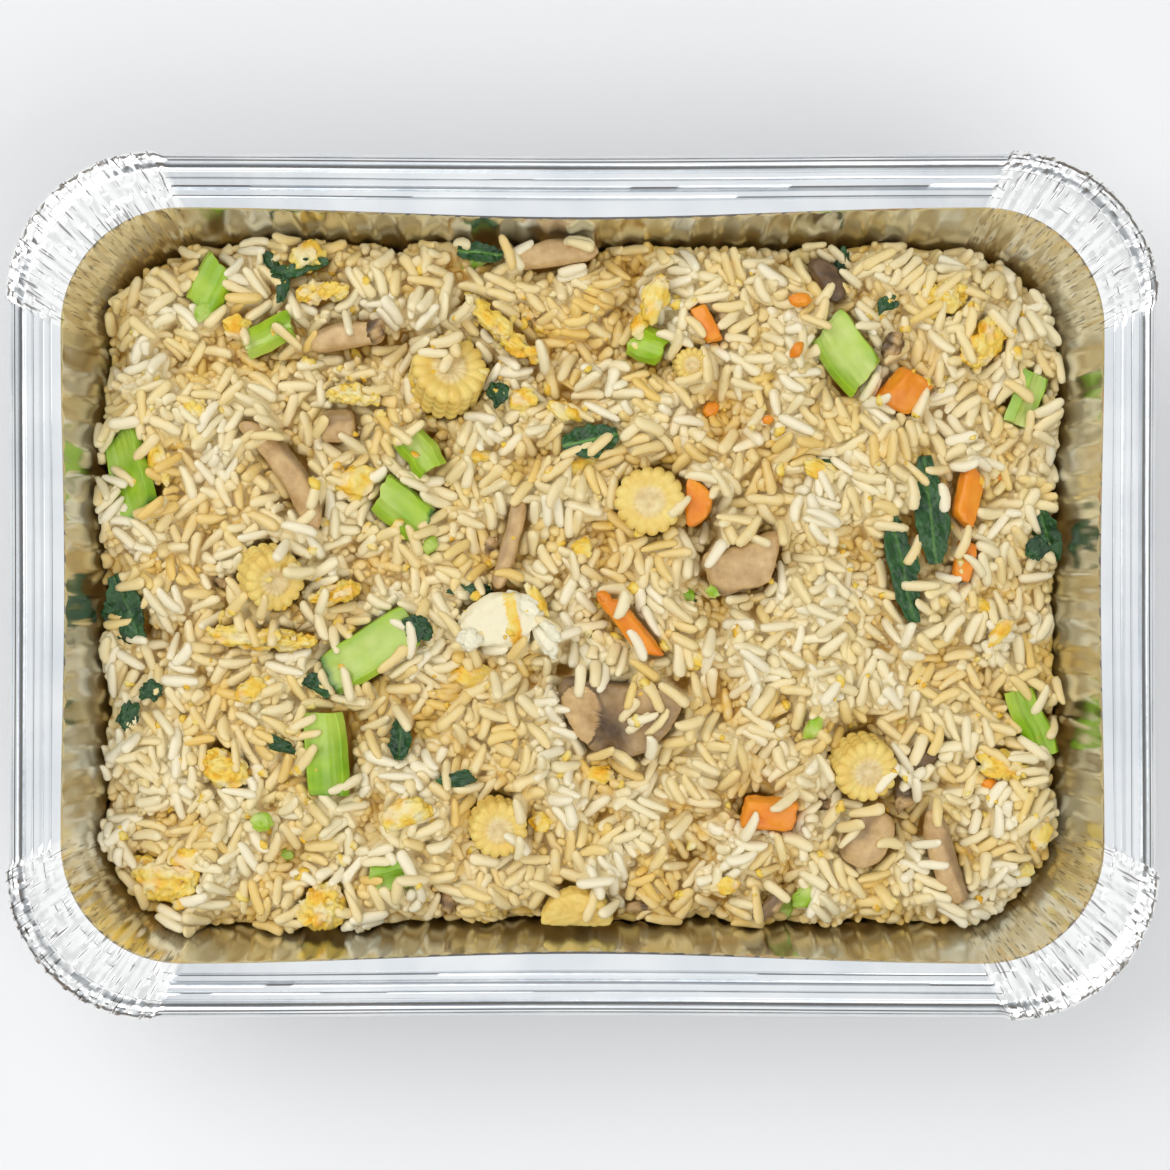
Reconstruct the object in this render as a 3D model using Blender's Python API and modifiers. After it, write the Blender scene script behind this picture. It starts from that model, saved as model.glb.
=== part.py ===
# Aluminium foil tray filled with egg fried rice: baby corn, carrot, mushroom, pak choi and egg.
# Metres, +Z up. The origin is on the surface that the tray stands on, under the tray's middle.
# +X runs along the tray's long side and +Y is the far side of the tray as it is looked down on.

import math
import random

import bmesh
import bpy
from mathutils import Euler, Vector, noise
from mathutils.bvhtree import BVHTree

MM = 0.001

# Tray
TRAY_HEIGHT = 46 * MM
FOIL = 0.45 * MM  # wall as modelled; the real foil is about a fifth of this
OPENING_HALF_LENGTH = 113.1 * MM
OPENING_HALF_WIDTH = 81.8 * MM
OPENING_CORNER = 26 * MM
WALL_TOP_Z = TRAY_HEIGHT - 2.2 * MM
WALL_FOOT_Z = 6.5 * MM
WALL_DRAFT = math.radians(14)
PANEL_RELIEF = 0.8 * MM  # the bottom panel is this much higher than the ring that the tray stands on
CORNER_RELIEF = 0.3 * MM  # the ring stands on its four straight runs; its corners clear the table by this
RIM_REACH = 12.4 * MM  # from the opening's edge to the outside of the rolled bead, on the long sides
RIM_REACH_ENDS = 11.9 * MM  # the same, on the short sides
LONG_SIDE_BOW = 2.4 * MM  # how far the middle of a long side leans into the opening
SHORT_SIDE_BOW = 0.9 * MM
WALL_PLEAT = 0.35 * MM
RIM_PLEAT = 0.22 * MM
CORNER_BULGE = 1.6 * MM  # the crimped bead stands out past the straight sides at each corner
CORNER_TIGHTENING = 0.5  # how much less than a true offset the rim's radius grows outwards
CORNER_STEPS = 10
SIDE_STEPS = 4

# Rim section, from the opening outwards: (distance from the opening's edge, drop below the rim's top)
RIM_SECTION = [
    (0.9 * MM, 1.2 * MM),
    (3.9 * MM, 1.2 * MM),
    (4.6 * MM, 0.5 * MM),
    (8.9 * MM, 0.4 * MM),
    (9.5 * MM, 1.0 * MM),
    (10.8 * MM, 0.0 * MM),
    (11.9 * MM, 0.6 * MM),
    (12.4 * MM, 1.8 * MM),
    (11.4 * MM, 3.1 * MM),
    (10.2 * MM, 2.6 * MM),
]

# Rice
GAP = 0.35 * MM  # clearance between pieces that touch
SEAT_GAP = 0.7 * MM  # the same, between the rice and what lies on it
RICE_FLOOR_Z = 1.65 * MM
CROWN_Z = 34.2 * MM
EDGE_LEFT_Z, EDGE_RIGHT_Z, EDGE_FAR_Z, EDGE_NEAR_Z = 26 * MM, 21.5 * MM, 32 * MM, 31 * MM
CORNER_FAR_LEFT_Z, CORNER_FAR_RIGHT_Z = 24 * MM, 17 * MM
CORNER_NEAR_LEFT_Z, CORNER_NEAR_RIGHT_Z = 19 * MM, 14 * MM
HEAP_HALF_LENGTH = 109 * MM
HEAP_HALF_WIDTH = 77 * MM
BUMP_SPACING = 4.4 * MM
BUMP_RISE = 1.3 * MM
GRAIN_LENGTH, GRAIN_WIDTH, GRAIN_THICKNESS = 8.4 * MM, 2.5 * MM, 2.2 * MM
LOOSE_GRAINS = 30

# How the picture shows the tray: its middle, its scale at the rim, and the eye's height over the rim
PICTURE_MIDDLE = (582.5, 585.5)
PICTURE_SCALE = 0.217 * MM
EYE_OVER_RIM = 620 * MM


def wipe():
    for obj in list(bpy.data.objects):
        bpy.data.objects.remove(obj, do_unlink=True)


def material(name, colour, roughness=0.5, metallic=0.0):
    made = bpy.data.materials.new(name)
    made.use_nodes = True
    shader = made.node_tree.nodes["Principled BSDF"]
    shader.inputs["Base Color"].default_value = (*colour, 1)
    shader.inputs["Roughness"].default_value = roughness
    shader.inputs["Metallic"].default_value = metallic
    return made


def object_from(bm, name, collection, surface=None, smooth_angle=None):
    mesh = bpy.data.meshes.new(name)
    bm.to_mesh(mesh)
    bm.free()
    obj = bpy.data.objects.new(name, mesh)
    collection.objects.link(obj)
    if surface:
        mesh.materials.append(surface)
    if smooth_angle:
        mesh.shade_smooth()
        mesh.set_sharp_from_angle(angle=math.radians(smooth_angle))
    return obj


# Outline of the tray at one height: a rounded rectangle whose straight sides lean inwards at their middle.
def outline(half_length, half_width, corner, long_bow=0.0, short_bow=0.0):
    points = []
    for quarter in range(4):
        sign_x = 1 if quarter in (0, 3) else -1
        sign_y = 1 if quarter in (0, 1) else -1
        centre = Vector((sign_x * (half_length - corner), sign_y * (half_width - corner)))
        for step in range(CORNER_STEPS + 1):
            angle = math.radians(90 * (quarter + step / CORNER_STEPS))
            points.append((centre + corner * Vector((math.cos(angle), math.sin(angle))), step))
        along = (Vector((-1, 0)), Vector((0, -1)), Vector((1, 0)), Vector((0, 1)))[quarter]
        reach = half_length - corner if quarter % 2 == 0 else half_width - corner
        bow = long_bow if quarter % 2 == 0 else short_bow
        inwards = Vector((-along.y, along.x))
        start = points[-1][0]
        for step in range(1, SIDE_STEPS):
            share = step / SIDE_STEPS
            lean = bow * math.sin(math.pi * share) ** 2
            points.append((start + along * 2 * reach * share + inwards * lean, None))
    return points


# Section of the tray's wall at a height, moved inwards by inset.
def wall_outline(z, inset=0.0):
    lean = (WALL_TOP_Z - z) * math.tan(WALL_DRAFT) + inset
    share = (z - WALL_FOOT_Z) / (WALL_TOP_Z - WALL_FOOT_Z)
    return outline(
        OPENING_HALF_LENGTH - lean,
        OPENING_HALF_WIDTH - lean,
        OPENING_CORNER - 0.7 * lean,
        LONG_SIDE_BOW * (0.15 + 0.85 * share),
        SHORT_SIDE_BOW * (0.15 + 0.85 * share),
    )


def bulged(point, step, reach):
    if step is None or step in (0, CORNER_STEPS):
        return point
    return point + point.normalized() * reach


def pleated(points, z, sideways, upwards):
    ring = []
    for point, step in points:
        crease = 0 if step is None or step in (0, CORNER_STEPS) else (-1) ** step
        ring.append(Vector((*(point * (1 + crease * sideways / point.length)), z + crease * upwards)))
    return ring


# One ring of the tray's bottom: inset from the foot of the wall, with its corners at their own height.
def bottom_ring(inset, corner, z, corner_z):
    foot = (WALL_TOP_Z - WALL_FOOT_Z) * math.tan(WALL_DRAFT) + inset
    ring = []
    for point, step in outline(OPENING_HALF_LENGTH - foot, OPENING_HALF_WIDTH - foot, corner):
        ring.append(Vector((*point, z if step in (None, 0, CORNER_STEPS) else corner_z)))
    return ring


def tray_rings():
    panel_z = FOIL + PANEL_RELIEF
    rings = [
        bottom_ring(18 * MM, 9 * MM, panel_z, panel_z),
        bottom_ring(16 * MM, 10 * MM, FOIL, FOIL + CORNER_RELIEF),
        bottom_ring(4.6 * MM, 15 * MM, FOIL, FOIL + CORNER_RELIEF),
        bottom_ring(1.4 * MM, 18 * MM, 2.2 * MM, 2.2 * MM),
    ]
    for z, pleat in ((WALL_FOOT_Z, 0.4), (0.5 * (WALL_FOOT_Z + WALL_TOP_Z), 0.8), (WALL_TOP_Z, 1)):
        rings.append(pleated(wall_outline(z), z, pleat * WALL_PLEAT, 0))
    for out, drop in RIM_SECTION:
        share = out / RIM_REACH
        points = outline(
            OPENING_HALF_LENGTH + share * RIM_REACH_ENDS,
            OPENING_HALF_WIDTH + out,
            OPENING_CORNER + CORNER_TIGHTENING * out,
            LONG_SIDE_BOW * (1 - 0.75 * share),
            SHORT_SIDE_BOW * (1 - 0.75 * share),
        )
        crimped = CORNER_BULGE * min(1, share) ** 3
        points = [(bulged(point, step, crimped), step) for point, step in points]
        rings.append(pleated(points, TRAY_HEIGHT - drop, 0, RIM_PLEAT if drop < 2 * MM else 0))
    return rings


# A filled first ring, each next ring grown from the one before. Gives the shape and its open edges.
def grown_from(rings):
    bm = bmesh.new()
    station = bm.verts.layers.int.new("station")
    base = bmesh.ops.create_circle(bm, cap_ends=True, radius=1, segments=len(rings[0]))
    for index, vert in enumerate(base["verts"]):
        vert[station] = index
        vert.co = rings[0][index]
    edges = [edge for edge in bm.edges if edge.is_boundary]
    for ring in rings[1:]:
        grown = bmesh.ops.extrude_edge_only(bm, edges=edges)["geom"]
        for vert in (item for item in grown if isinstance(item, bmesh.types.BMVert)):
            vert.co = ring[vert[station]]
        edges = [item for item in grown if isinstance(item, bmesh.types.BMEdge) and item.is_boundary]
    return bm, edges


def foil_tray(collection, surface):
    bm, _ = grown_from(tray_rings())
    bmesh.ops.recalc_face_normals(bm, faces=bm.faces[:])
    if sum(face.normal.z for face in bm.faces if len(face.verts) > 4) < 0:
        bmesh.ops.reverse_faces(bm, faces=bm.faces[:])
    tray = object_from(bm, "foil_tray", collection, surface, smooth_angle=50)
    wall = tray.modifiers.new("foil", "SOLIDIFY")
    wall.thickness = FOIL
    wall.offset = -1
    wall.use_even_offset = True
    return tray


# Height of the smooth heap of rice: a low crown that falls to its own level at each side and corner.
def heap_z(x, y):
    across, along = abs(x) / HEAP_HALF_LENGTH, abs(y) / HEAP_HALF_WIDTH
    side_x = EDGE_RIGHT_Z if x > 0 else EDGE_LEFT_Z
    side_y = EDGE_FAR_Z if y > 0 else EDGE_NEAR_Z
    if y > 0:
        corner = CORNER_FAR_RIGHT_Z if x > 0 else CORNER_FAR_LEFT_Z
    else:
        corner = CORNER_NEAR_RIGHT_Z if x > 0 else CORNER_NEAR_LEFT_Z
    weight_x, weight_y = across**4 + 1e-6, along**4 + 1e-6
    side = (weight_x * side_x + weight_y * side_y) / (weight_x + weight_y)
    cornered = min(1.0, (across * along) ** 4)
    edge = side + (corner - side) * cornered
    reach = (across**6 + along**6) ** (1 / 6)
    fall = min(1.0, reach) ** 5
    mounds = 1.0 * MM * math.sin(x / (13 * MM) + 1.1) * math.cos(y / (15 * MM) - 0.5)
    mounds += 0.8 * MM * math.sin(x / (23 * MM) - y / (19 * MM) + 0.6)
    return CROWN_Z + (edge - CROWN_Z) * fall + mounds * (1 - 0.5 * fall)


def heap_normal(x, y):
    step = 3 * MM
    slope_x = (heap_z(x + step, y) - heap_z(x - step, y)) / (2 * step)
    slope_y = (heap_z(x, y + step) - heap_z(x, y - step)) / (2 * step)
    return Vector((-slope_x, -slope_y, 1)).normalized()


# The point of the heap that the picture shows at this column and row.
def heap_point(column, row, lift=0.0):
    z = CROWN_Z
    for _ in range(3):
        spread = PICTURE_SCALE * (1 + (TRAY_HEIGHT - z) / EYE_OVER_RIM)
        x = (column - PICTURE_MIDDLE[0]) * spread
        y = (PICTURE_MIDDLE[1] - row) * spread
        z = heap_z(x, y) + lift
    return Vector((x, y, z))


# Lays a piece on the heap: turn is its heading seen from above, pitch and roll tip its length and its width.
def lay(obj, at, lift, turn, pitch=0.0, roll=0.0):
    place = heap_point(*at, lift * MM)
    slope = Vector((0, 0, 1)).rotation_difference(heap_normal(place.x, place.y))
    heading = Euler((0, 0, math.radians(turn))).to_quaternion()
    tipped = Euler((math.radians(roll), math.radians(pitch), 0)).to_quaternion()
    obj.location = place
    obj.rotation_mode = "QUATERNION"
    obj.rotation_quaternion = slope @ heading @ tipped
    return obj


# A rounded lump with its length on X: boxiness 0 is an egg, 1 is close to a block.
def lump(name, collection, surface, size, boxiness=0.3, bend=0.0, uneven=0.0, seed=0, sides=8, rings=6):
    bm = bmesh.new()
    bmesh.ops.create_uvsphere(bm, u_segments=sides, v_segments=rings, radius=1)
    power = 1 - 0.75 * boxiness
    length, width, thickness = (value * MM / 2 for value in size)
    for vert in bm.verts:
        along, across, up = vert.co.z, vert.co.x, vert.co.y
        squared = [math.copysign(abs(value) ** power, value) for value in (along, across, up)]
        swell = 1 + uneven * noise.noise(Vector((along * 1.9, across * 1.9, up * 1.9 + 7.3 * seed)))
        along, across, up = (value * swell for value in squared)
        curve = bend * MM * (along * along - 0.4)
        vert.co = Vector((along * length, across * width + curve, up * thickness))
    return object_from(bm, name, collection, surface, smooth_angle=40)


def corn_slice(name, collection, surface, across, thickness):
    bm = bmesh.new()
    kernels = 8
    radius = across * MM / 2
    segments = 2 * kernels
    bmesh.ops.create_cone(
        bm, cap_ends=True, segments=segments, depth=thickness * MM, radius1=radius, radius2=radius
    )
    for vert in bm.verts:
        angle = math.atan2(vert.co.y, vert.co.x)
        dent = 0.955 + 0.045 * math.cos(kernels * angle)
        vert.co.x *= dent
        vert.co.y *= dent
    top = [face for face in bm.faces if face.normal.z > 0.9]
    bmesh.ops.inset_region(bm, faces=top, thickness=0.9 * MM, depth=0.5 * MM)
    return object_from(bm, name, collection, surface, smooth_angle=40)


# A cut block of vegetable; shear slants its ends and taper narrows its far side.
def block(name, collection, surface, size, shear=0.0, taper=0.0, edge=0.7):
    bm = bmesh.new()
    bmesh.ops.create_cube(bm, size=1)
    for vert in bm.verts:
        narrow = 1 - taper * (vert.co.y + 0.5)
        vert.co.x = vert.co.x * narrow + shear * vert.co.y
        vert.co = Vector(tuple(value * side * MM for value, side in zip(vert.co, size)))
    bmesh.ops.bevel(bm, geom=bm.edges[:], offset=edge * MM, segments=1, affect="EDGES", profile=0.5)
    return object_from(bm, name, collection, surface)


# Half a round slice: flat along X on its near edge, round on the other.
def half_round(name, collection, surface, length, width, thickness, dip=0.0):
    bm = bmesh.new()
    arc_steps = 9
    made = bmesh.ops.create_circle(bm, cap_ends=True, radius=1, segments=arc_steps + 2)
    for index, vert in enumerate(made["verts"]):
        angle = math.pi * index / arc_steps
        if index <= arc_steps:
            vert.co = Vector((math.cos(angle) * length / 2, math.sin(angle) * width - width / 2, 0)) * MM
        else:
            vert.co = Vector((0, dip - width / 2, 0)) * MM
    raised = bmesh.ops.extrude_face_region(bm, geom=bm.faces[:])["geom"]
    lifted = [item for item in raised if isinstance(item, bmesh.types.BMVert)]
    bmesh.ops.translate(bm, verts=lifted, vec=(0, 0, thickness * MM))
    bmesh.ops.translate(bm, verts=bm.verts[:], vec=(0, 0, -thickness * MM / 2))
    bmesh.ops.recalc_face_normals(bm, faces=bm.faces[:])
    top = [face for face in bm.faces if face.normal.z > 0.9]
    bmesh.ops.inset_region(bm, faces=top, thickness=0.8 * MM, depth=0.5 * MM)
    return object_from(bm, name, collection, surface, smooth_angle=40)


# A piece of leaf stalk: a slab cupped across its width, with slanted cut ends.
def stalk(name, collection, surface, length, width, slant=0.0):
    cup, sway = 1.2, 0.4
    bm = bmesh.new()
    bmesh.ops.create_grid(bm, x_segments=3, y_segments=3, size=0.5)
    for vert in bm.verts:
        along, across = vert.co.x, vert.co.y
        x = along * length + slant * across * width
        z = cup * (4 * across * across - 0.5) + sway * math.sin(3 * along)
        vert.co = Vector((x, across * width, z)) * MM
    made = object_from(bm, name, collection, surface, smooth_angle=50)
    slab = made.modifiers.new("slab", "SOLIDIFY")
    slab.thickness = 2.6 * MM
    slab.offset = 0
    return made


# A leaf is a thin wavy sheet, pointed at both ends, that follows the heap.
def leaf(name, collection, surface, length, width, seed):
    wave, blunt = 0.8, 0.35
    bm = bmesh.new()
    bmesh.ops.create_grid(bm, x_segments=5, y_segments=2, size=0.5)
    for vert in bm.verts:
        along, across = vert.co.x, vert.co.y
        swell = blunt + (1 - blunt) * math.cos(math.pi * along) ** 0.8 if abs(along) < 0.5 else blunt
        ripple = wave * (math.sin(9 * along + seed) * (0.3 + abs(across)) + 1.2 * abs(across) - 0.3)
        vert.co = Vector((along * length, across * width * swell, ripple)) * MM
    bmesh.ops.triangulate(bm, faces=bm.faces[:])
    made = object_from(bm, name, collection, surface, smooth_angle=50)
    sheet = made.modifiers.new("sheet", "SOLIDIFY")
    sheet.thickness = 0.6 * MM
    sheet.offset = 0
    return made


def baby_corn(collection, surface):
    slices = [
        dict(at=(447, 377), across=17, thickness=9, lift=-2.2, turn=0, pitch=8, roll=-26),
        dict(at=(650, 500), across=15.5, thickness=8, lift=0.0, turn=20, pitch=-6, roll=8),
        dict(at=(862, 766), across=14.5, thickness=8, lift=0.4, turn=10, pitch=4, roll=18),
        dict(at=(270, 576), across=14, thickness=8, lift=-0.6, turn=25, pitch=16, roll=24),
        dict(at=(497, 826), across=13, thickness=7, lift=-0.2, turn=5, pitch=5, roll=6),
        dict(at=(690, 364), across=8, thickness=6, lift=0.2, turn=0, pitch=12, roll=10),
    ]
    for number, piece in enumerate(slices, 1):
        made = corn_slice(f"baby_corn_{number}", collection, surface, piece["across"], piece["thickness"])
        lay(made, piece["at"], piece["lift"], piece["turn"], piece["pitch"], piece["roll"])
    halved = half_round("baby_corn_7", collection, surface, 17, 8.4, 7)
    lay(halved, (577, 903), -0.6, 0, pitch=0, roll=12)


def carrots(collection, surface):
    blocks = [
        dict(at=(706, 324), size=(9, 4.2, 4), shear=0.1, lift=0.8, turn=-64, pitch=-8, roll=0),
        dict(at=(904, 391), size=(10, 8, 6), shear=-0.2, lift=0.8, turn=48, pitch=0, roll=22),
        dict(at=(968, 496), size=(12.5, 5.6, 4), shear=0.2, lift=0.6, turn=74, pitch=5, roll=12),
        dict(at=(964, 561), size=(9, 4.6, 4), shear=0.1, lift=0.2, turn=78, pitch=0, roll=-10),
        dict(at=(630, 626), size=(16, 4.6, 4), shear=0.3, lift=0.5, turn=-52, pitch=0, roll=14),
        dict(at=(769, 813), size=(12, 7, 6), shear=0.1, lift=0.4, turn=-4, pitch=0, roll=10),
    ]
    for number, piece in enumerate(blocks, 1):
        made = block(f"carrot_{number}", collection, surface, piece["size"], piece["shear"])
        lay(made, piece["at"], piece["lift"], piece["turn"], piece["pitch"], piece["roll"])
    rounded = half_round("carrot_7", collection, surface, 11.4, 6.2, 4)
    lay(rounded, (699, 503), 0.8, -90, pitch=0, roll=6)


def mushrooms(collection, surface):
    cap = half_round("mushroom_1", collection, surface, 29, 19, 6, dip=2.5)
    lay(cap, (619, 716), 0.0, 174, pitch=4, roll=-10)
    wedge = block("mushroom_2", collection, surface, (20, 11, 7), shear=0.15, taper=0.35, edge=1.4)
    lay(wedge, (742, 566), 0.6, 197, pitch=0, roll=-14)
    cube = block("mushroom_3", collection, surface, (7.6, 7, 6), shear=0.05, edge=1.0)
    lay(cube, (338, 426), 0.6, 4, pitch=0, roll=14)
    strips = [
        dict(at=(286, 473), size=(30, 6.6, 5), bend=-3.2, lift=0.8, turn=-56, boxiness=0.4),
        dict(at=(348, 337), size=(17, 6.4, 5), bend=-1.0, lift=0.5, turn=8, boxiness=0.4),
        dict(at=(555, 254), size=(20, 6.4, 5), bend=-0.8, lift=1.0, turn=8, boxiness=0.35),
        dict(at=(867, 838), size=(14.4, 12, 6), bend=0.0, lift=0.6, turn=60, boxiness=0.2),
        dict(at=(917, 768), size=(19, 6.4, 4.6), bend=-2.6, lift=-1.0, turn=56, boxiness=0.4),
        dict(at=(944, 856), size=(24, 6.6, 5), bend=1.2, lift=0.9, turn=-72, boxiness=0.4),
        dict(at=(828, 280), size=(11.5, 6, 4), bend=-1.0, lift=0.6, turn=-58, boxiness=0.4),
        dict(at=(510, 543), size=(21, 4, 4), bend=0.4, lift=0.6, turn=75, boxiness=0.7),
        dict(at=(771, 905), size=(10, 3.6, 3.4), bend=0.6, lift=0.6, turn=48, boxiness=0.5),
    ]
    for number, piece in enumerate(strips, 4):
        name = f"mushroom_{number}"
        made = lump(name, collection, surface, piece["size"], piece["boxiness"], piece["bend"], 0.12, number)
        lay(made, piece["at"], piece["lift"], piece["turn"])


def pak_choi_stalks(collection, surface):
    pieces = [
        dict(at=(210, 287), length=11, width=7.6, slant=0.35, lift=1.2, turn=62, roll=6),
        dict(at=(130, 474), length=19, width=9.6, slant=-0.3, lift=1.4, turn=-68, roll=8),
        dict(at=(370, 650), length=22, width=9.8, slant=0.1, lift=1.6, turn=32, roll=-6),
        dict(at=(326, 754), length=18.5, width=9.4, slant=0.1, lift=0.8, turn=-83, roll=8),
        dict(at=(846, 352), length=15, width=10.4, slant=-0.3, lift=1.4, turn=-57, roll=-4),
        dict(at=(1027, 400), length=12, width=6, slant=0.0, lift=1.2, turn=68, roll=4),
        dict(at=(1032, 722), length=15.5, width=6.4, slant=0.2, lift=1.2, turn=-66, roll=0),
        dict(at=(268, 335), length=11.5, width=5, slant=0.1, lift=0.4, turn=26, roll=10),
        dict(at=(648, 345), length=7.6, width=6.8, slant=0.2, lift=0.6, turn=-20, roll=6),
        dict(at=(403, 509), length=13, width=8.6, slant=-0.2, lift=0.5, turn=-38, roll=-10),
        dict(at=(420, 452), length=9, width=6.4, slant=0.1, lift=0.2, turn=-52, roll=0),
        dict(at=(392, 877), length=9.6, width=5.6, slant=0.0, lift=0.8, turn=14, roll=6),
    ]
    for number, piece in enumerate(pieces, 1):
        name = f"pak_choi_stalk_{number}"
        made = stalk(name, collection, surface, piece["length"], piece["width"], slant=piece["slant"])
        lay(made, piece["at"], piece["lift"], piece["turn"], roll=piece["roll"])


def pak_choi_leaves(collection, surface):
    pieces = [
        dict(at=(930, 510), length=24, width=7.4, lift=1.6, turn=-83, roll=4),
        dict(at=(903, 570), length=24, width=6.4, lift=1.3, turn=-77, roll=-6),
        dict(at=(590, 440), length=12.5, width=7, lift=1.6, turn=12, roll=8),
        dict(at=(1047, 536), length=12, width=6, lift=2.4, turn=-74, roll=38),
        dict(at=(128, 608), length=16, width=7, lift=0.9, turn=-64, roll=6),
        dict(at=(300, 268), length=13, width=3.4, lift=1.6, turn=12, roll=0),
        dict(at=(400, 738), length=9.4, width=5, lift=1.2, turn=85, roll=10),
        dict(at=(480, 253), length=10, width=4.2, lift=0.9, turn=-6, roll=0),
    ]
    for number, piece in enumerate(pieces, 1):
        name = f"pak_choi_leaf_{number}"
        made = leaf(name, collection, surface, piece["length"], piece["width"], number)
        lay(made, piece["at"], piece["lift"], piece["turn"], roll=piece["roll"])


def eggs(collection, surface):
    pieces = [
        dict(at=(165, 880), size=(18, 11, 6), bend=0.6, lift=0.9, turn=-6),
        dict(at=(322, 907), size=(11.4, 9.6, 6), bend=0.4, lift=0.8, turn=30),
        dict(at=(224, 769), size=(11, 8, 6), bend=0.6, lift=0.9, turn=-30),
        dict(at=(983, 342), size=(13, 8.6, 6), bend=0.6, lift=0.9, turn=48),
        dict(at=(947, 297), size=(9.6, 7.6, 5), bend=0.2, lift=0.6, turn=20),
        dict(at=(503, 622), size=(19, 13, 6), bend=0.8, lift=1.2, turn=12),
        dict(at=(262, 638), size=(25, 5, 4), bend=0.8, lift=0.8, turn=-4),
        dict(at=(336, 594), size=(12, 4.4, 4), bend=0.6, lift=0.6, turn=17),
        dict(at=(352, 395), size=(13, 4.4, 4), bend=-1.4, lift=0.8, turn=-6),
        dict(at=(323, 293), size=(12, 5, 4.4), bend=0.4, lift=0.8, turn=5),
        dict(at=(505, 332), size=(23, 5, 4), bend=0.8, lift=0.9, turn=-41),
        dict(at=(1003, 766), size=(11.5, 7, 5), bend=0.4, lift=0.8, turn=-12),
    ]
    for number, piece in enumerate(pieces, 1):
        name = f"egg_{number}"
        made = lump(name, collection, surface, piece["size"], 0.15, piece["bend"], 0.45, number, rings=5)
        lay(made, piece["at"], piece["lift"], piece["turn"])


# One tree of all the pieces' faces, to measure how low each of them hangs over the rice.
def tree_of(objects):
    graph = bpy.context.evaluated_depsgraph_get()
    points, faces = [], []
    for obj in objects:
        shape = obj.evaluated_get(graph)
        mesh = shape.to_mesh()
        first = len(points)
        points += [shape.matrix_world @ vert.co for vert in mesh.vertices]
        faces += [[first + index for index in face.vertices] for face in mesh.polygons]
        shape.to_mesh_clear()
    return BVHTree.FromPolygons(points, faces)


def lowest_piece_near(tree, x, y, reach):
    lowest = None
    for step_x in range(-4, 5):
        for step_y in range(-4, 5):
            start = Vector((x + step_x * reach / 4, y + step_y * reach / 4, 0))
            hit = tree.ray_cast(start, Vector((0, 0, 1)), TRAY_HEIGHT)[0]
            if hit and (lowest is None or hit.z < lowest):
                lowest = hit.z
    return lowest


# The space inside the tray that the rice may fill.
def tray_inside(collection):
    inset = WALL_PLEAT + GAP + 0.25 * MM
    rings = [pleated(wall_outline(WALL_FOOT_Z, inset + 3.4 * MM), RICE_FLOOR_Z, 0, 0)]
    for z in (WALL_FOOT_Z, WALL_TOP_Z):
        rings.append(pleated(wall_outline(z, inset), z, 0, 0))
    bm, edges = grown_from(rings)
    bmesh.ops.holes_fill(bm, edges=edges)
    bmesh.ops.recalc_face_normals(bm, faces=bm.faces[:])
    return object_from(bm, "tray_inside", collection)


# The body of the heap: a lattice of uneven bumps that dips under every piece that lies on it.
def rice_body(collection, surface, tree, rng):
    columns = round(2 * (OPENING_HALF_LENGTH + 2 * MM) / BUMP_SPACING)
    rows = round(2 * (OPENING_HALF_WIDTH + 2 * MM) / BUMP_SPACING)
    bm = bmesh.new()
    bmesh.ops.create_grid(bm, x_segments=columns, y_segments=rows, size=0.5)
    for vert in bm.verts:
        x = vert.co.x * columns * BUMP_SPACING + rng.uniform(-0.25, 0.25) * BUMP_SPACING
        y = vert.co.y * rows * BUMP_SPACING + rng.uniform(-0.25, 0.25) * BUMP_SPACING
        z = heap_z(x, y) + rng.uniform(-BUMP_RISE, BUMP_RISE)
        lowest = lowest_piece_near(tree, x, y, 1.4 * BUMP_SPACING)
        if lowest is not None:
            z = min(z, lowest - SEAT_GAP)
        vert.co = Vector((x, y, z))
    bmesh.ops.triangulate(bm, faces=bm.faces[:])
    top = bm.faces[:]
    grown = bmesh.ops.extrude_face_region(bm, geom=top)["geom"]
    for vert in (item for item in grown if isinstance(item, bmesh.types.BMVert)):
        vert.co.z = -5 * MM
    bmesh.ops.recalc_face_normals(bm, faces=bm.faces[:])
    return object_from(bm, "fried_rice", collection, surface)


def loose_grains(collection, tree, rice_tree, rng):
    placed = []
    while len(placed) < LOOSE_GRAINS:
        x = rng.uniform(-0.9, 0.9) * HEAP_HALF_LENGTH
        y = rng.uniform(-0.88, 0.88) * HEAP_HALF_WIDTH
        near_piece = lowest_piece_near(tree, x, y, GRAIN_LENGTH) is not None
        if near_piece or any((Vector((x, y)) - spot).length < 1.5 * GRAIN_LENGTH for spot in placed):
            continue
        placed.append(Vector((x, y)))
        hit = rice_tree.ray_cast(Vector((x, y, TRAY_HEIGHT)), Vector((0, 0, -1)))
        bm = bmesh.new()
        bmesh.ops.create_uvsphere(bm, u_segments=6, v_segments=4, radius=1)
        for vert in bm.verts:
            across, up, along = vert.co
            sag = -0.4 * MM * along * along
            size = Vector((GRAIN_LENGTH / 2, GRAIN_WIDTH / 2, GRAIN_THICKNESS / 2))
            vert.co = Vector((along * size.x, across * size.y, up * size.z + sag))
        grain = object_from(bm, f"grain_{len(placed)}", collection)
        heading = Euler((0, 0, rng.uniform(0, math.pi))).to_quaternion()
        slope = Vector((0, 0, 1)).rotation_difference(hit[1])
        grain.rotation_mode = "QUATERNION"
        grain.rotation_quaternion = slope @ heading
        grain.location = hit[0] + hit[1] * 0.4 * MM


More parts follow.
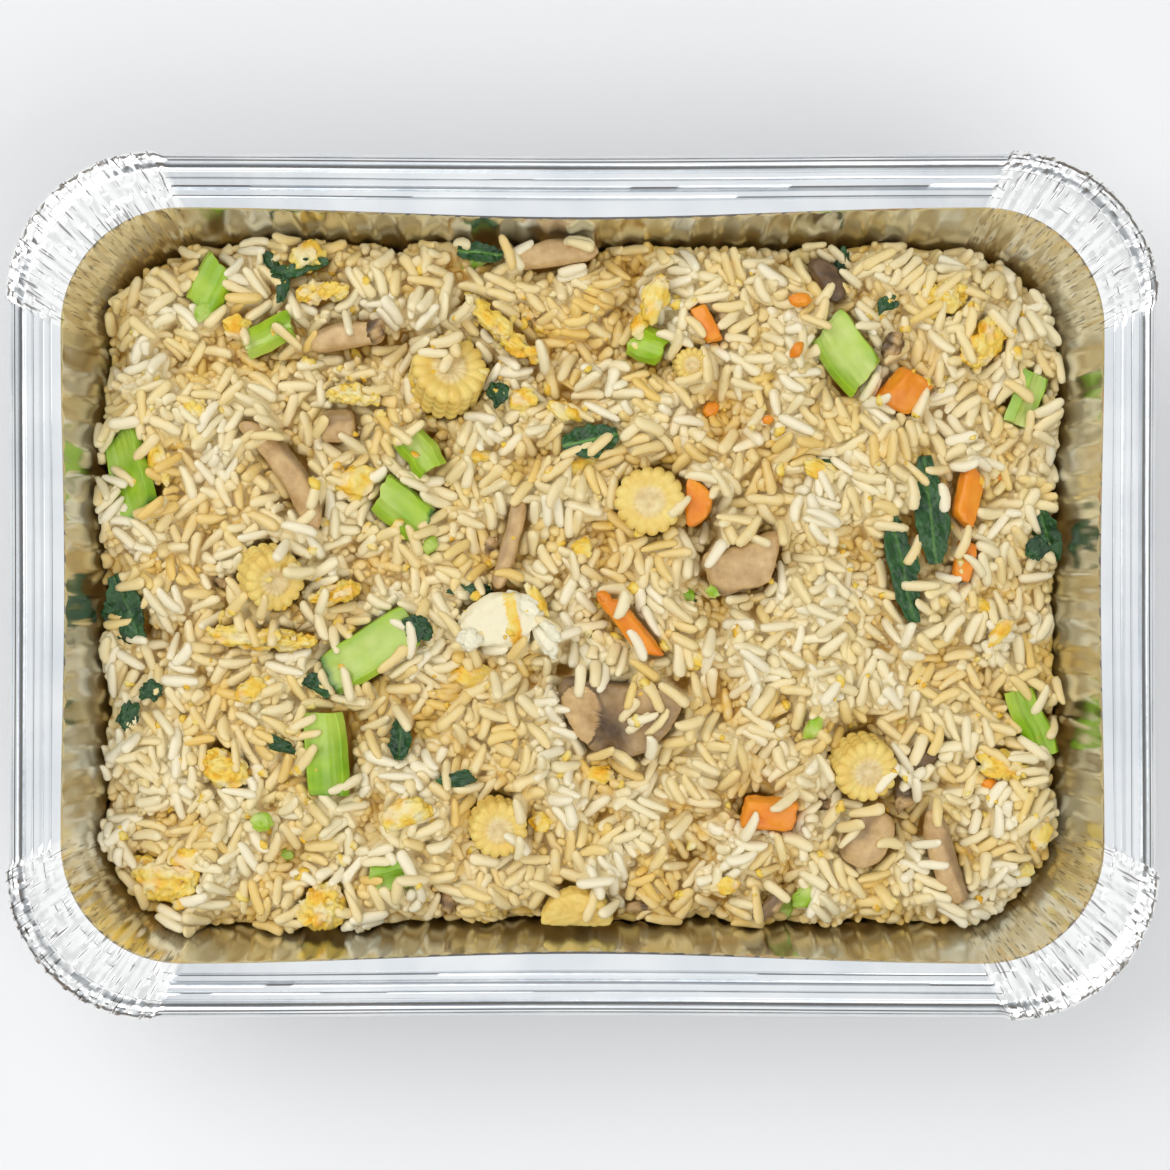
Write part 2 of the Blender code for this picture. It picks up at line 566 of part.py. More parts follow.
def fried_rice(collection, surface, pieces):
    rng = random.Random(26)
    tree = tree_of(pieces)
    body = rice_body(collection, surface, tree, rng)
    helpers = bpy.data.collections.new("rice_helpers")
    grains = bpy.data.collections.new("loose_grains")
    bpy.context.scene.collection.children.link(helpers)
    bpy.context.scene.collection.children.link(grains)
    inside = tray_inside(helpers)
    fit = body.modifiers.new("fit_tray", "BOOLEAN")
    fit.operation = "INTERSECT"
    fit.object = inside
    bpy.context.view_layer.update()
    loose_grains(grains, tree, tree_of([body]), rng)
    join = body.modifiers.new("join_grains", "BOOLEAN")
    join.operation = "UNION"
    join.solver = "MANIFOLD"
    join.operand_type = "COLLECTION"
    join.collection = grains
    bpy.context.view_layer.update()
    joined = bpy.data.meshes.new_from_object(body.evaluated_get(bpy.context.evaluated_depsgraph_get()))
    body.modifiers.clear()
    body.data = joined
    for helper in [*helpers.objects, *grains.objects]:
        bpy.data.objects.remove(helper, do_unlink=True)
    return body


def main():
    wipe()
    meal = bpy.data.collections.new("foil_tray_meal")
    bpy.context.scene.collection.children.link(meal)
    foil_tray(meal, material("foil", (0.86, 0.87, 0.88), 0.25, 1.0))
    baby_corn(meal, material("baby_corn", (0.76, 0.53, 0.15), 0.45))
    carrots(meal, material("carrot", (0.80, 0.21, 0.015), 0.4))
    mushrooms(meal, material("mushroom", (0.42, 0.23, 0.09), 0.5))
    pak_choi_stalks(meal, material("pak_choi_stalk", (0.40, 0.56, 0.07), 0.35))
    pak_choi_leaves(meal, material("pak_choi_leaf", (0.03, 0.10, 0.03), 0.4))
    eggs(meal, material("egg", (0.86, 0.60, 0.12), 0.5))
    bpy.context.view_layer.update()
    pieces = [obj for obj in meal.objects if obj.name != "foil_tray"]
    fried_rice(meal, material("rice", (0.74, 0.60, 0.34), 0.5), pieces)


main()
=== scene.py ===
import math

import bmesh
import bpy
import numpy as np
from mathutils import Matrix, Vector, noise
from mathutils.bvhtree import BVHTree


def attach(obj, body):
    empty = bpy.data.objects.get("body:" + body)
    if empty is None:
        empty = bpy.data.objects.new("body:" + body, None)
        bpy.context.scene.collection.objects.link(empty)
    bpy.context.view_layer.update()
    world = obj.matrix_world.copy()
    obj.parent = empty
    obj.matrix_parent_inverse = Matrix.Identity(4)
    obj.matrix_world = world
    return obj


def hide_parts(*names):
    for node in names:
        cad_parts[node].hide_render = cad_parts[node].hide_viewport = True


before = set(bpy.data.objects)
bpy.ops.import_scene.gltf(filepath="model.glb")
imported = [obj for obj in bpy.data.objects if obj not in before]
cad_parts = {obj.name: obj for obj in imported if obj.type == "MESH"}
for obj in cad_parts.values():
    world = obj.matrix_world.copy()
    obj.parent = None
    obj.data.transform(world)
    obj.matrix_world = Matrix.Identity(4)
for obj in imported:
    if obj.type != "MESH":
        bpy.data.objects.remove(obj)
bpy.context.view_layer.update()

mm = 0.001  # everything below is worked out in millimetres and made metres when a mesh is written
draw = np.random.default_rng(26)
noise.seed_set(26)  # without it the vector noise follows the clock


# small helpers

def meshPoints(mesh):
    flat = np.empty(len(mesh.vertices) * 3)
    mesh.vertices.foreach_get("co", flat)
    return flat.reshape(-1, 3)


def setPoints(mesh, points):
    mesh.vertices.foreach_set("co", np.asarray(points, dtype=np.float32).ravel())
    mesh.update()


def paint(mesh, name, values):
    layer = mesh.attributes.get(name) or mesh.attributes.new(name, "FLOAT", "POINT")
    layer.data.foreach_set("value", np.asarray(values, dtype=np.float32))


def wandering(points, pitch, seed=0):  # smooth noise at each point
    return np.array([noise.noise(Vector(p) * pitch + Vector((seed, 0, 0))) for p in points])


def inScene(name, data):
    thing = bpy.data.objects.new(name, data)
    bpy.context.scene.collection.objects.link(thing)
    return thing


def pieceOf(mesh, name, material):
    mesh.shade_smooth()
    mesh.materials.append(material)
    return inScene(name, mesh)


def pieceFrom(bm, name, material):
    bm.transform(Matrix.Scale(mm, 4))
    mesh = bpy.data.meshes.new(name)
    bm.to_mesh(mesh)
    bm.free()
    return pieceOf(mesh, name, material)


def pieceName(node):
    return node.title().replace("_", "")


def finished(piece, slotName, *nodes):
    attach(piece, "root")
    if nodes:
        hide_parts(*nodes)
    return piece


def subdivided(piece, levels):
    smooth = piece.modifiers.new("smooth", "SUBSURF")
    smooth.levels = levels
    smooth.render_levels = levels
    bpy.context.view_layer.update()
    made = bpy.data.meshes.new_from_object(piece.evaluated_get(bpy.context.evaluated_depsgraph_get()))
    piece.modifiers.clear()
    piece.data = made
    made.shade_smooth()
    return piece


def nodeCopy(node):  # a merged copy of a solid, in millimetres, with its flat faces whole again
    bm = bmesh.new()
    bm.from_mesh(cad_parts[node].data)
    bm.transform(Matrix.Scale(1 / mm, 4))
    bmesh.ops.remove_doubles(bm, verts=bm.verts[:], dist=0.001)
    return bm


def nodePose(node):  # where a solid lies: its middle and its long, cross and upward directions
    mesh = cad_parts[node].data
    points = meshPoints(mesh) / mm
    corners = np.array([face.vertices[:] for face in mesh.polygons])
    a, b, c = points[corners[:, 0]], points[corners[:, 1]], points[corners[:, 2]]
    area = np.linalg.norm(np.cross(b - a, c - a), axis=1)[:, None]
    middle = (a + b + c) / 3
    centre = (middle * area).sum(0) / area.sum()
    spread = ((middle - centre) * area).T @ (middle - centre)
    axes = np.linalg.eigh(spread)[1]
    along, up = axes[:, 2], axes[:, 0]
    up = up if up[2] > 0 else -up
    along = along if along[0] + 0.3 * along[1] > 0 else -along
    turn = np.column_stack((along, np.cross(up, along), up))
    local = (points - centre) @ turn
    low, high = local.min(0), local.max(0)
    return centre + turn @ ((low + high) / 2), turn, high - low


def put(points, pose):
    centre, turn, _ = pose
    return points @ turn.T + centre


# materials

def setStops(ramp, stops):
    steps = ramp.color_ramp.elements
    while len(steps) < len(stops):
        steps.new(0.5)
    for step, (at, colour) in zip(steps, stops):
        step.position = at
        step.color = (*colour, 1)


class Finish:  # a new material, with short names for the few nodes that it needs
    def __init__(self, name, roughness, **sockets):
        self.material = bpy.data.materials.new(name)
        self.material.use_nodes = True
        self.tree = self.material.node_tree
        self.shader = self.tree.nodes["Principled BSDF"]
        self.shader.inputs["Roughness"].default_value = roughness
        self.shader.inputs["Subsurface Radius"].default_value = (1.0, 0.75, 0.45)
        for socket, value in sockets.items():
            self.shader.inputs[socket.replace("_", " ")].default_value = value
        self.place = self.add("TexCoord", "Object")

    def add(self, kind, output, inputs=(), **settings):  # links other nodes' outputs and sets plain values
        node = self.tree.nodes.new("ShaderNode" + kind)
        for setting, value in settings.items():
            setattr(node, setting, value)
        for name, value in dict(inputs).items():
            socket = next(item for item in node.inputs if item.name == name and item.enabled)
            if isinstance(value, bpy.types.NodeSocket):
                self.tree.links.new(value, socket)
            else:
                socket.default_value = (*value, 1) if socket.type == "RGBA" else value
        return next(item for item in node.outputs if item.name == output and item.enabled)

    def noise(self, scale, detail=3, roughness=0.5, stretch=None, source=None):
        place = source or self.place
        if stretch:
            place = self.add("Mapping", "Vector", {"Vector": place, "Scale": stretch})
        inputs = {"Vector": place, "Scale": scale, "Detail": detail, "Roughness": roughness}
        return self.add("TexNoise", "Fac", inputs)

    def attribute(self, name):
        return self.add("Attribute", "Fac", attribute_name=name)

    def ramp(self, factor, *stops):
        colours = self.add("ValToRGB", "Color", {"Fac": factor})
        setStops(colours.node, stops)
        return colours

    def mix(self, factor, first, second):
        return self.add("Mix", "Result", {"Factor": factor, "A": first, "B": second}, data_type="RGBA")

    def remap(self, value, low, high, toLow, toHigh):
        ends = {"From Min": low, "From Max": high, "To Min": toLow, "To Max": toHigh}
        return self.add("MapRange", "Result", {"Value": value, **ends})

    def bump(self, height, distance, strength, **below):
        inputs = {"Height": height, "Distance": distance * mm, "Strength": strength}
        return self.add("Bump", "Normal", {**inputs, **below})

    def done(self, colour, normal=None):
        self.tree.links.new(colour, self.shader.inputs["Base Color"])
        if normal:
            self.tree.links.new(normal, self.shader.inputs["Normal"])
        return self.material


def foilMaterial():
    n = Finish("foil", 0.2, Metallic=1.0)
    around = n.add("UVMap", "UV", uv_map="aroundAndAcross")
    dents = n.noise(260, 1)
    lines = n.remap(n.noise(1.0, 1, 0.55, (1.5, 0.16, 1), around), 0.60, 0.68, 0.0, 1.0)
    # the crease lines in the creased corners: they dent the foil and also carry painted shade
    creaseDentsAndShade = n.mix(n.attribute("creased"), (0, 0, 0), lines)
    bright = n.ramp(n.noise(60, 2), (0.3, (0.74, 0.77, 0.80)), (0.7, (0.86, 0.88, 0.89)))
    # painted highlight: the creased corners are painted nearly white
    bright = n.mix(n.attribute("creased"), bright, (0.97, 0.97, 0.96))
    dented = n.bump(dents, 0.12, 0.35, Normal=n.bump(creaseDentsAndShade, -0.06, 0.6))
    # painted shade: along the crease lines the foil's colour is darkened to grey, in place of dark
    # reflections in the creases
    return n.done(n.mix(creaseDentsAndShade, bright, (0.34, 0.33, 0.32)), dented)


def riceMaterial(name, dark, light, gold):
    n = Finish(name, 0.33, Specular_IOR_Level=0.45)
    # painted shade: grains deep in the heap take the dark colour, grains on top the light one
    base = n.mix(n.attribute("tone"), dark, light)
    base = n.mix(n.remap(n.noise(450, 1), 0.45, 0.75, 0.0, 0.35), base, (0.95, 0.85, 0.60))
    return n.done(n.mix(n.attribute("gold"), base, gold))


def coreMaterial():
    n = Finish("riceCore", 0.5)
    # painted shade: the mass is dark brown where it lies low among the grains and cream where it lies high
    deep = n.ramp(n.noise(300, 1), (0.3, (0.52, 0.26, 0.035)), (0.7, (0.72, 0.42, 0.08)))
    return n.done(n.mix(n.attribute("tone"), deep, (0.94, 0.78, 0.44)))


def cornMaterial():
    n = Finish("babyCorn", 0.36, Subsurface_Weight=0.3, Subsurface_Scale=0.002)
    kernels = n.ramp(n.noise(220, 2), (0.3, (0.86, 0.57, 0.12)), (0.7, (0.95, 0.73, 0.22)))
    core = n.ramp(n.noise(500, 2), (0.35, (0.76, 0.55, 0.24)), (0.65, (0.90, 0.73, 0.38)))
    return n.done(n.mix(n.attribute("core"), kernels, core), n.bump(n.noise(700), 0.15, 0.5))


def carrotMaterial():
    n = Finish("carrot", 0.33, Subsurface_Weight=0.25, Subsurface_Scale=0.002)
    orange = n.ramp(n.noise(180, 4), (0.3, (0.86, 0.23, 0.008)), (0.72, (0.98, 0.37, 0.02)))
    return n.done(orange, n.bump(n.noise(600), 0.2, 0.5))


def mushroomMaterial():
    n = Finish("mushroom", 0.35, Subsurface_Weight=0.15, Subsurface_Scale=0.0015)
    flesh = n.ramp(n.noise(240, 4, 0.6), (0.3, (0.50, 0.29, 0.11)), (0.7, (0.78, 0.54, 0.25)))
    skin = n.ramp(n.noise(300, 4, 0.6), (0.3, (0.05, 0.027, 0.010)), (0.75, (0.22, 0.12, 0.045)))
    return n.done(n.mix(n.attribute("skin"), flesh, skin), n.bump(n.noise(800, 4, 0.6), 0.25, 0.6))


def stalkMaterial():
    n = Finish("pakChoiStalk", 0.28, Subsurface_Weight=0.25, Subsurface_Scale=0.002)
    green = n.ramp(n.noise(160, 2), (0.3, (0.22, 0.44, 0.006)), (0.7, (0.42, 0.62, 0.025)))
    pale = n.ramp(n.noise(200, 2), (0.3, (0.52, 0.66, 0.12)), (0.7, (0.74, 0.80, 0.30)))
    mixed = n.mix(n.attribute("pale"), green, pale)
    veined = n.bump(n.attribute("vein"), 0.07, 0.5, Normal=n.bump(n.noise(700, 2), 0.12, 0.5))
    return n.done(n.mix(n.attribute("rind"), mixed, (0.02, 0.13, 0.02)), veined)


def leafMaterial():
    n = Finish("pakChoiLeaf", 0.3, Subsurface_Weight=0.1, Subsurface_Scale=0.001)
    blade = n.ramp(n.noise(260, 4, 0.6), (0.3, (0.006, 0.032, 0.008)), (0.7, (0.035, 0.13, 0.028)))
    veined = n.mix(n.attribute("vein"), blade, (0.16, 0.36, 0.06))
    return n.done(veined, n.bump(n.noise(420, 4, 0.6), 0.4, 0.7))


def eggMaterial():
    n = Finish("egg", 0.4, Subsurface_Weight=0.15, Subsurface_Scale=0.002)
    curds = n.noise(230, 4, 0.6)
    yolk = n.ramp(curds, (0.34, (0.92, 0.46, 0.015)), (0.5, (0.95, 0.64, 0.08)), (0.68, (0.95, 0.78, 0.27)))
    mixed = n.mix(n.attribute("white"), yolk, (0.97, 0.90, 0.66))
    return n.done(mixed, n.bump(n.noise(600, 4, 0.6), 0.4, 0.7))


foil = foilMaterial()
riceCore = coreMaterial()
cornFinish, carrotFinish, mushroomFinish = cornMaterial(), carrotMaterial(), mushroomMaterial()
stalkFinish, leafFinish, eggFinish = stalkMaterial(), leafMaterial(), eggMaterial()
print("materials ready")


# foil tray

tray = {  # lengths in millimetres
    "height": 46.0,
    "foil": 0.45,
    "openingHalfLength": 113.1,
    "openingHalfWidth": 81.8,
    "openingCorner": 26.0,
    "wallTop": 43.8,
    "wallFoot": 6.5,
    "wallRows": 9,
    "draft": math.radians(14),
    "cornerTaper": 0.7,  # how much tighter the corners get towards the foot
    "longBow": 2.4,
    "shortBow": 0.9,
    "rimReach": 12.4,
    "rimReachEnds": 11.9,
    "cornerTightening": 0.5,
    "cornerBulge": 1.1,
    "cornerSteps": 110,
    "longSteps": 160,
    "shortSteps": 110,
    "fluteSpacing": 5.5,
    "fluteDepth": 0.28,
    "pleatDepth": 0.30,
    "crimpRise": 0.27,
    "crimpReach": 0.3,
    "endSteps": 0.65,  # how far the steps of the rim fade out on the short sides
}

# the bottom from the middle outwards: inset from the wall's foot, corner, height, lift at the corners
footSection = [
    (38, 8, 1.25, 0), (18, 9, 1.25, 0), (16.6, 10, 0.7, 0), (16, 10, 0.45, 0.3), (4.6, 15, 0.45, 0.3),
    (3.0, 16.5, 1.0, 0), (1.4, 18, 2.2, 0), (0.5, 18.6, 4.0, 0),
]

# the rim from the opening outwards: reach, drop below the top, folds, crimps at the corners
rimSection = [
    (0.12, 1.5, 0.9, 0), (0.4, 1.12, 0.8, 0), (1.3, 1.05, 0.8, 0), (2.4, 1.0, 0.7, 0),
    (2.55, 1.45, 0.7, 0), (3.1, 1.0, 0.7, 0), (4.1, 0.9, 0.6, 0), (4.3, 1.65, 0.5, 0),
    (5.25, 0.85, 0.5, 0), (5.8, 0.75, 0.4, 0), (6.4, 0.7, 0.4, 0), (6.55, 0.95, 0.4, 0),
    (6.9, 0.65, 0.4, 0.1), (7.4, 0.55, 0.3, 0.3), (8.1, 0.5, 0.2, 0.6), (8.35, 1.15, 0, 0.5),
    (8.6, 1.15, 0, 0.5), (9.4, 0.45, 0, 0.8), (9.8, 0.12, 0, 0.9), (10.4, 0.0, 0, 1), (10.75, 0.2, 0, 1),
    (11.1, 0.12, 0, 1), (11.6, 0.5, 0, 1), (12.0, 1.1, 0, 1), (12.2, 1.9, 0, 0.9), (12.0, 2.6, 0, 0.7),
    (11.4, 3.0, 0, 0.5), (10.6, 2.9, 0, 0.2), (10.2, 2.5, 0, 0),
]
# the steps fade out round the corners
cornerSection = ((0.12, 1.5), (0.4, 1.12), (1.0, 1.05), (4.5, 0.8), (8.1, 0.6))


def trayStations():  # corner, heading and how far along a side; the last is -1 in the corners
    stations = []
    for corner in range(4):
        steps = tray["cornerSteps"]
        stations += [(corner, 90 * (corner + step / steps), -1) for step in range(steps)]
        steps = tray["longSteps"] if corner % 2 == 0 else tray["shortSteps"]
        stations += [(corner, 90 * (corner + 1), step / steps) for step in range(steps)]
    corners, angles, shares = np.array(stations).T
    return corners.astype(int), np.radians(angles), shares


quarter, heading, sideShare = trayStations()
onSide = sideShare >= 0
signX = np.where((quarter == 0) | (quarter == 3), 1.0, -1.0)
signY = np.where(quarter < 2, 1.0, -1.0)
outward = np.column_stack((np.cos(heading), np.sin(heading)))
alongSide = np.column_stack((-np.sin(heading), np.cos(heading)))
bowShape = np.where(onSide, np.sin(math.pi * np.clip(sideShare, 0, 1)) ** 2, 0)


def trayOutline(halfLength, halfWidth, corner, longBow, shortBow):
    centre = np.column_stack((signX * (halfLength - corner), signY * (halfWidth - corner)))
    reach = np.where(quarter % 2 == 0, 2 * (halfLength - corner), 2 * (halfWidth - corner))
    bow = np.where(quarter % 2 == 0, longBow, shortBow) * bowShape
    run = np.clip(sideShare, 0, 1) * reach
    return centre + outward * (corner - bow)[:, None] + alongSide * run[:, None]


def zigzag(narrow, wide):  # folds of uneven width and depth round the corners
    folds = np.zeros(len(quarter))
    for corner in range(4):
        places = np.flatnonzero((quarter == corner) & ~onSide)
        at, side = 0.0, 1
        knots, heights = [0.0], [0.0]
        while at < len(places) - wide:
            at += draw.uniform(narrow, wide)
            knots.append(at)
            heights.append(side * draw.uniform(0.35, 1.0))
            side = -side
        knots.append(len(places))
        heights.append(0.0)
        folds[places] = np.interp(np.arange(len(places)), knots, heights)
    return folds


def sideWaves():
    half = np.where(quarter % 2 == 0, tray["openingHalfLength"], tray["openingHalfWidth"])
    length = 2 * (half - tray["openingCorner"])
    count = np.round(length / tray["fluteSpacing"])
    fade = np.clip(12 * np.minimum(sideShare, 1 - sideShare), 0, 1)
    return np.where(onSide, np.cos(2 * math.pi * count * sideShare) * fade, 0)


def slowWaver(strength, seed, pitch):
    wander = [noise.noise(Vector((*(point * pitch), seed))) for point in outlineForNoise]
    return strength * np.array(wander)


outlineForNoise = trayOutline(120, 88, 30, 0, 0)
cornerFade = np.where(onSide, 0, 1.0)
inCorner = (np.degrees(heading) - 90 * quarter) / 90
onEnd = onSide & (quarter % 2 == 1)
smoothCorner = np.where(onSide, 0, np.clip(12 * np.minimum(inCorner, 1 - inCorner), 0, 1))
pleats = zigzag(3, 6)
finePleats = zigzag(2, 3.4)
flutes = sideWaves()


def wallLean(z):  # how far the wall leans in at a height
    return (tray["wallTop"] - z) * math.tan(tray["draft"])


def wallBow(level):  # the walls bow and fold less towards the foot
    return 0.15 + 0.85 * level


def movedOpening(endways, sideways, rounder, bowed):  # the opening's outline, moved out and bowed
    return trayOutline(
        tray["openingHalfLength"] + endways,
        tray["openingHalfWidth"] + sideways,
        tray["openingCorner"] + rounder,
        tray["longBow"] * bowed,
        tray["shortBow"] * bowed,
    )


def trayRings():
    rings = []
    foot = wallLean(tray["wallFoot"])
    halfLength, halfWidth = tray["openingHalfLength"] - foot, tray["openingHalfWidth"] - foot
    for inset, corner, z, lift in footSection:
        points = trayOutline(halfLength - inset, halfWidth - inset, corner, 0, 0)
        rings.append((points, z + lift * cornerFade))
    for level in np.linspace(0, 1, tray["wallRows"]):
        z = tray["wallFoot"] + level * (tray["wallTop"] - tray["wallFoot"])
        lean, bowed = wallLean(z), wallBow(level)
        points = movedOpening(-lean, -lean, -tray["cornerTaper"] * lean, bowed)
        push = tray["fluteDepth"] * flutes * min(1, 3 * level) * (1 if level < 0.99 else 0.7)
        push = push + tray["pleatDepth"] * pleats * bowed
        rings.append((points + outward * push[:, None], np.full(len(points), z)))
    for index, (out, drop, pleated, crimped) in enumerate(rimSection):
        share = out / tray["rimReach"]
        bowed = max(0.2, 1 - out / 3.4)
        points = movedOpening(share * tray["rimReachEnds"], out, tray["cornerTightening"] * out, bowed)
        radius = np.linalg.norm(points, axis=1)[:, None]
        bulge = cornerFade[:, None] * tray["cornerBulge"] * min(1, share) ** 3
        rough = slowWaver(1, 3.7 * index, 0.9)
        rumple = crimped * cornerFade * (0.35 * finePleats + 1.2 * rough)
        pull = tray["crimpReach"] * np.abs(rumple)[:, None]
        points = points + points / radius * (bulge - pull)
        plain = np.interp(out, *zip(*cornerSection)) if out < 8.3 else drop
        ragged = np.clip(smoothCorner + slowWaver(0.5, 5.1 * index, 0.5) * (smoothCorner > 0), 0, 1)
        ragged = np.maximum(ragged, tray["endSteps"] * onEnd)
        drop = drop + (plain - drop) * ragged
        z = tray["height"] - drop + 0.09 * pleated * (pleats + 0.8 * finePleats)
        z = z + tray["crimpRise"] * (rumple - 0.5 * crimped * cornerFade)
        z = z + slowWaver(0.06, 1.3 + 0.2 * index, 0.06) * onSide
        rings.append((points, np.minimum(z, tray["height"] + 0.2)))
    return rings


def loft(rings, capEnd=True):  # rings of equal counts, each extruded from the last and numbered after it
    bm = bmesh.new()
    order = bm.verts.layers.int.new("order")
    count = len(rings[0])
    start = bmesh.ops.create_circle(bm, cap_ends=True, radius=1, segments=count)["verts"]
    for station, vert in enumerate(start):
        vert[order] = station
        vert.co = rings[0][station]
    edges = [edge for edge in bm.edges if len(edge.link_faces) < 2]
    for level, ring in enumerate(rings[1:], 1):
        grown = bmesh.ops.extrude_edge_only(bm, edges=edges)["geom"]
        edges = []
        for item in grown:
            if isinstance(item, bmesh.types.BMVert):
                station = item[order] % count
                item[order] = level * count + station
                item.co = ring[station]
            elif isinstance(item, bmesh.types.BMEdge) and len(item.link_faces) == 1:
                edges.append(item)
    if capEnd:
        bmesh.ops.holes_fill(bm, edges=edges)
    bm.verts.sort(key=lambda vert: vert[order])
    bmesh.ops.recalc_face_normals(bm, faces=bm.faces[:])
    return bm


def buildTray():
    rings = [np.column_stack((points, z)) for points, z in trayRings()]
    bm = loft(rings, capEnd=False)
    if sum(face.normal.z for face in bm.faces if len(face.verts) > 4) < 0:
        bmesh.ops.reverse_faces(bm, faces=bm.faces[:])
    piece = pieceFrom(bm, "foilTray", foil)
    mesh = piece.data
    mesh.set_sharp_from_angle(angle=math.radians(30))
    stations = len(quarter)
    steps = np.linalg.norm(np.diff(outlineForNoise, axis=0, append=outlineForNoise[:1]), axis=1)
    around = np.concatenate(([0], np.cumsum(steps)))
    across = [0.0]
    for before, after in zip(rings, rings[1:]):
        across.append(across[-1] + float(np.median(np.linalg.norm(after - before, axis=1))))
    loops = np.empty(len(mesh.loops), dtype=np.int32)
    mesh.loops.foreach_get("vertex_index", loops)
    station, level = loops % stations, loops // stations
    u = around[station]
    for face in mesh.polygons:
        span = slice(face.loop_start, face.loop_start + face.loop_total)
        if face.loop_total == 4 and np.ptp(station[span]) > 2:
            u[span] = np.where(station[span] == 0, around[-1], u[span])
    across = np.array(across)
    # where the foil gets painted crease shade and a painted near-white highlight: fully on the rim's corners,
    # less on the corner walls
    shown = 0.35 + 0.65 * np.clip((across - 40) / 60, 0, 1)
    paint(mesh, "creased", np.outer(shown, cornerFade).ravel())
    uv = mesh.uv_layers.new(name="aroundAndAcross")
    uv.data.foreach_set("uv", np.column_stack((u, across[level])).astype(np.float32).ravel())
    wall = piece.modifiers.new("foil", "SOLIDIFY")
    wall.thickness = tray["foil"] * mm
    wall.offset = -1
    return finished(piece, "foil", "foil_tray")


buildTray()
print("tray ready")


def insideTray(x, y, z):  # how far a point is inside the tray's wall, in millimetres
    lean = wallLean(z)
    bowed = wallBow((z - tray["wallFoot"]) / (tray["wallTop"] - tray["wallFoot"]))
    corner = tray["openingCorner"] - tray["cornerTaper"] * lean
    straightX = tray["openingHalfLength"] - lean - corner
    straightY = tray["openingHalfWidth"] - lean - corner
    bowX = tray["shortBow"] * bowed * math.cos(0.5 * math.pi * min(1, abs(y) / straightY)) ** 2
    bowY = tray["longBow"] * bowed * math.cos(0.5 * math.pi * min(1, abs(x) / straightX)) ** 2
    overX, overY = abs(x) - straightX, abs(y) - straightY
    if overX > 0 and overY > 0:
        return corner - math.hypot(overX, overY)
    return min(corner - bowX - overX, corner - bowY - overY)


def keptInside(point, least):
    for _ in range(6):
        short = least - insideTray(*point)
        if short > 0:
            flat = Vector((point.x, point.y, 0))
            point = point - flat.normalized() * short
    return point


# toppings

toppingNodes = [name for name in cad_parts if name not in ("foil_tray", "fried_rice")]


def nodesNamed(start):
    named = [name for name in toppingNodes if name.startswith(start)]
    return sorted(named, key=lambda name: int(name.split("_")[-1]))


corn = {
    "kernels": 16,
    "perKernel": 6,
    "rowHeight": 2.3,
    "face": (  # rings of a cut face: share of the radius, sink, how far the kernels show, how much is core
        (0.07, 0.75, 0, 1), (0.16, 0.55, 0, 1), (0.27, 0.2, 0.3, 1), (0.38, 0.15, 0.5, 0.9),
        (0.45, 0.2, 0.6, 0.6), (0.5, 0.45, 0.8, 0.2), (0.58, 0.2, 1, 0), (0.74, 0.0, 1.3, 0),
        (0.9, 0.2, 1.3, 0),
    ),
}


def cornSlice(node):
    pose = nodePose(node)
    _, _, (length, width, thickness) = pose
    radius = (length + width) / 4
    count = corn["kernels"] * corn["perKernel"]
    angles = np.arange(count) * 2 * math.pi / count
    seed = draw.uniform(0, 50)
    lobe = np.abs(np.cos(corn["kernels"] * angles / 2)) ** 0.6
    wander = np.array([noise.noise(Vector((math.cos(a) * 1.3, math.sin(a) * 1.3, seed))) for a in angles])
    rings, cores = [], []

    def ring(share, z, lobed, core):
        r = radius * share * (1 - 0.09 * lobed * (1 - lobe)) * (1 + 0.06 * wander)
        lift = 0.25 * lobed * lobe * math.copysign(1, z) * (1 if share < 0.99 else 0)
        rings.append(np.column_stack((r * np.cos(angles), r * np.sin(angles), np.full(count, z) + lift)))
        cores.append(core)

    half = thickness / 2
    for share, sink, lobed, core in corn["face"]:
        ring(share, sink - half, lobed, core)
    rows = max(2, round(thickness / corn["rowHeight"]))
    for row in range(rows):
        for step in range(5):
            z = -half + 0.3 + (row + step / 5) * (thickness - 0.6) / rows
            ring(0.965 + 0.035 * math.sin(math.pi * step / 5), z, 1, 0)
    for share, sink, lobed, core in reversed(corn["face"]):
        ring(share, half - sink, lobed, core)
    bm = loft([put(points, pose) for points in rings])
    piece = pieceFrom(bm, pieceName(node), cornFinish)
    paint(piece.data, "core", np.repeat(cores, count))
    return finished(piece, "baby_corn", node)


def relief(points, normals, pitch, depth, seed, ridged=False):
    places = (Vector(p) * pitch + Vector((seed, 0, 0)) for p in points)
    rise = np.array([noise.fractal(place, 1.0, 2.0, 4) for place in places])
    if ridged:
        rise = 0.6 - 2 * np.abs(rise)
    return points + normals * (rise * depth)[:, None]


def softened(node, material, levels, pitch, depth, seed, ridged=False, keepFaces=False):
    bm = nodeCopy(node)
    if not keepFaces:
        bmesh.ops.dissolve_limit(bm, angle_limit=math.radians(3), verts=bm.verts[:], edges=bm.edges[:])
    piece = subdivided(pieceFrom(bm, pieceName(node), material), levels)
    mesh = piece.data
    normals = np.empty(len(mesh.vertices) * 3)
    mesh.vertices.foreach_get("normal", normals)
    setPoints(mesh, relief(meshPoints(mesh) / mm, normals.reshape(-1, 3), pitch, depth, seed, ridged) * mm)
    return piece


def localPoints(piece, node):  # a piece's points as shares of the solid's half length, width and height
    centre, turn, size = nodePose(node)
    return (meshPoints(piece.data) / mm - centre) @ turn / (size / 2)


def headed(node, heading):  # the solid's place, with its length on a known heading
    centre, turn, size = nodePose(node)
    up = Vector(turn[:, 2])
    along = Vector((math.cos(math.radians(heading)), math.sin(math.radians(heading)), 0))
    along = (along - up * along.dot(up)).normalized()
    return centre, np.column_stack((along, up.cross(along), up)), size


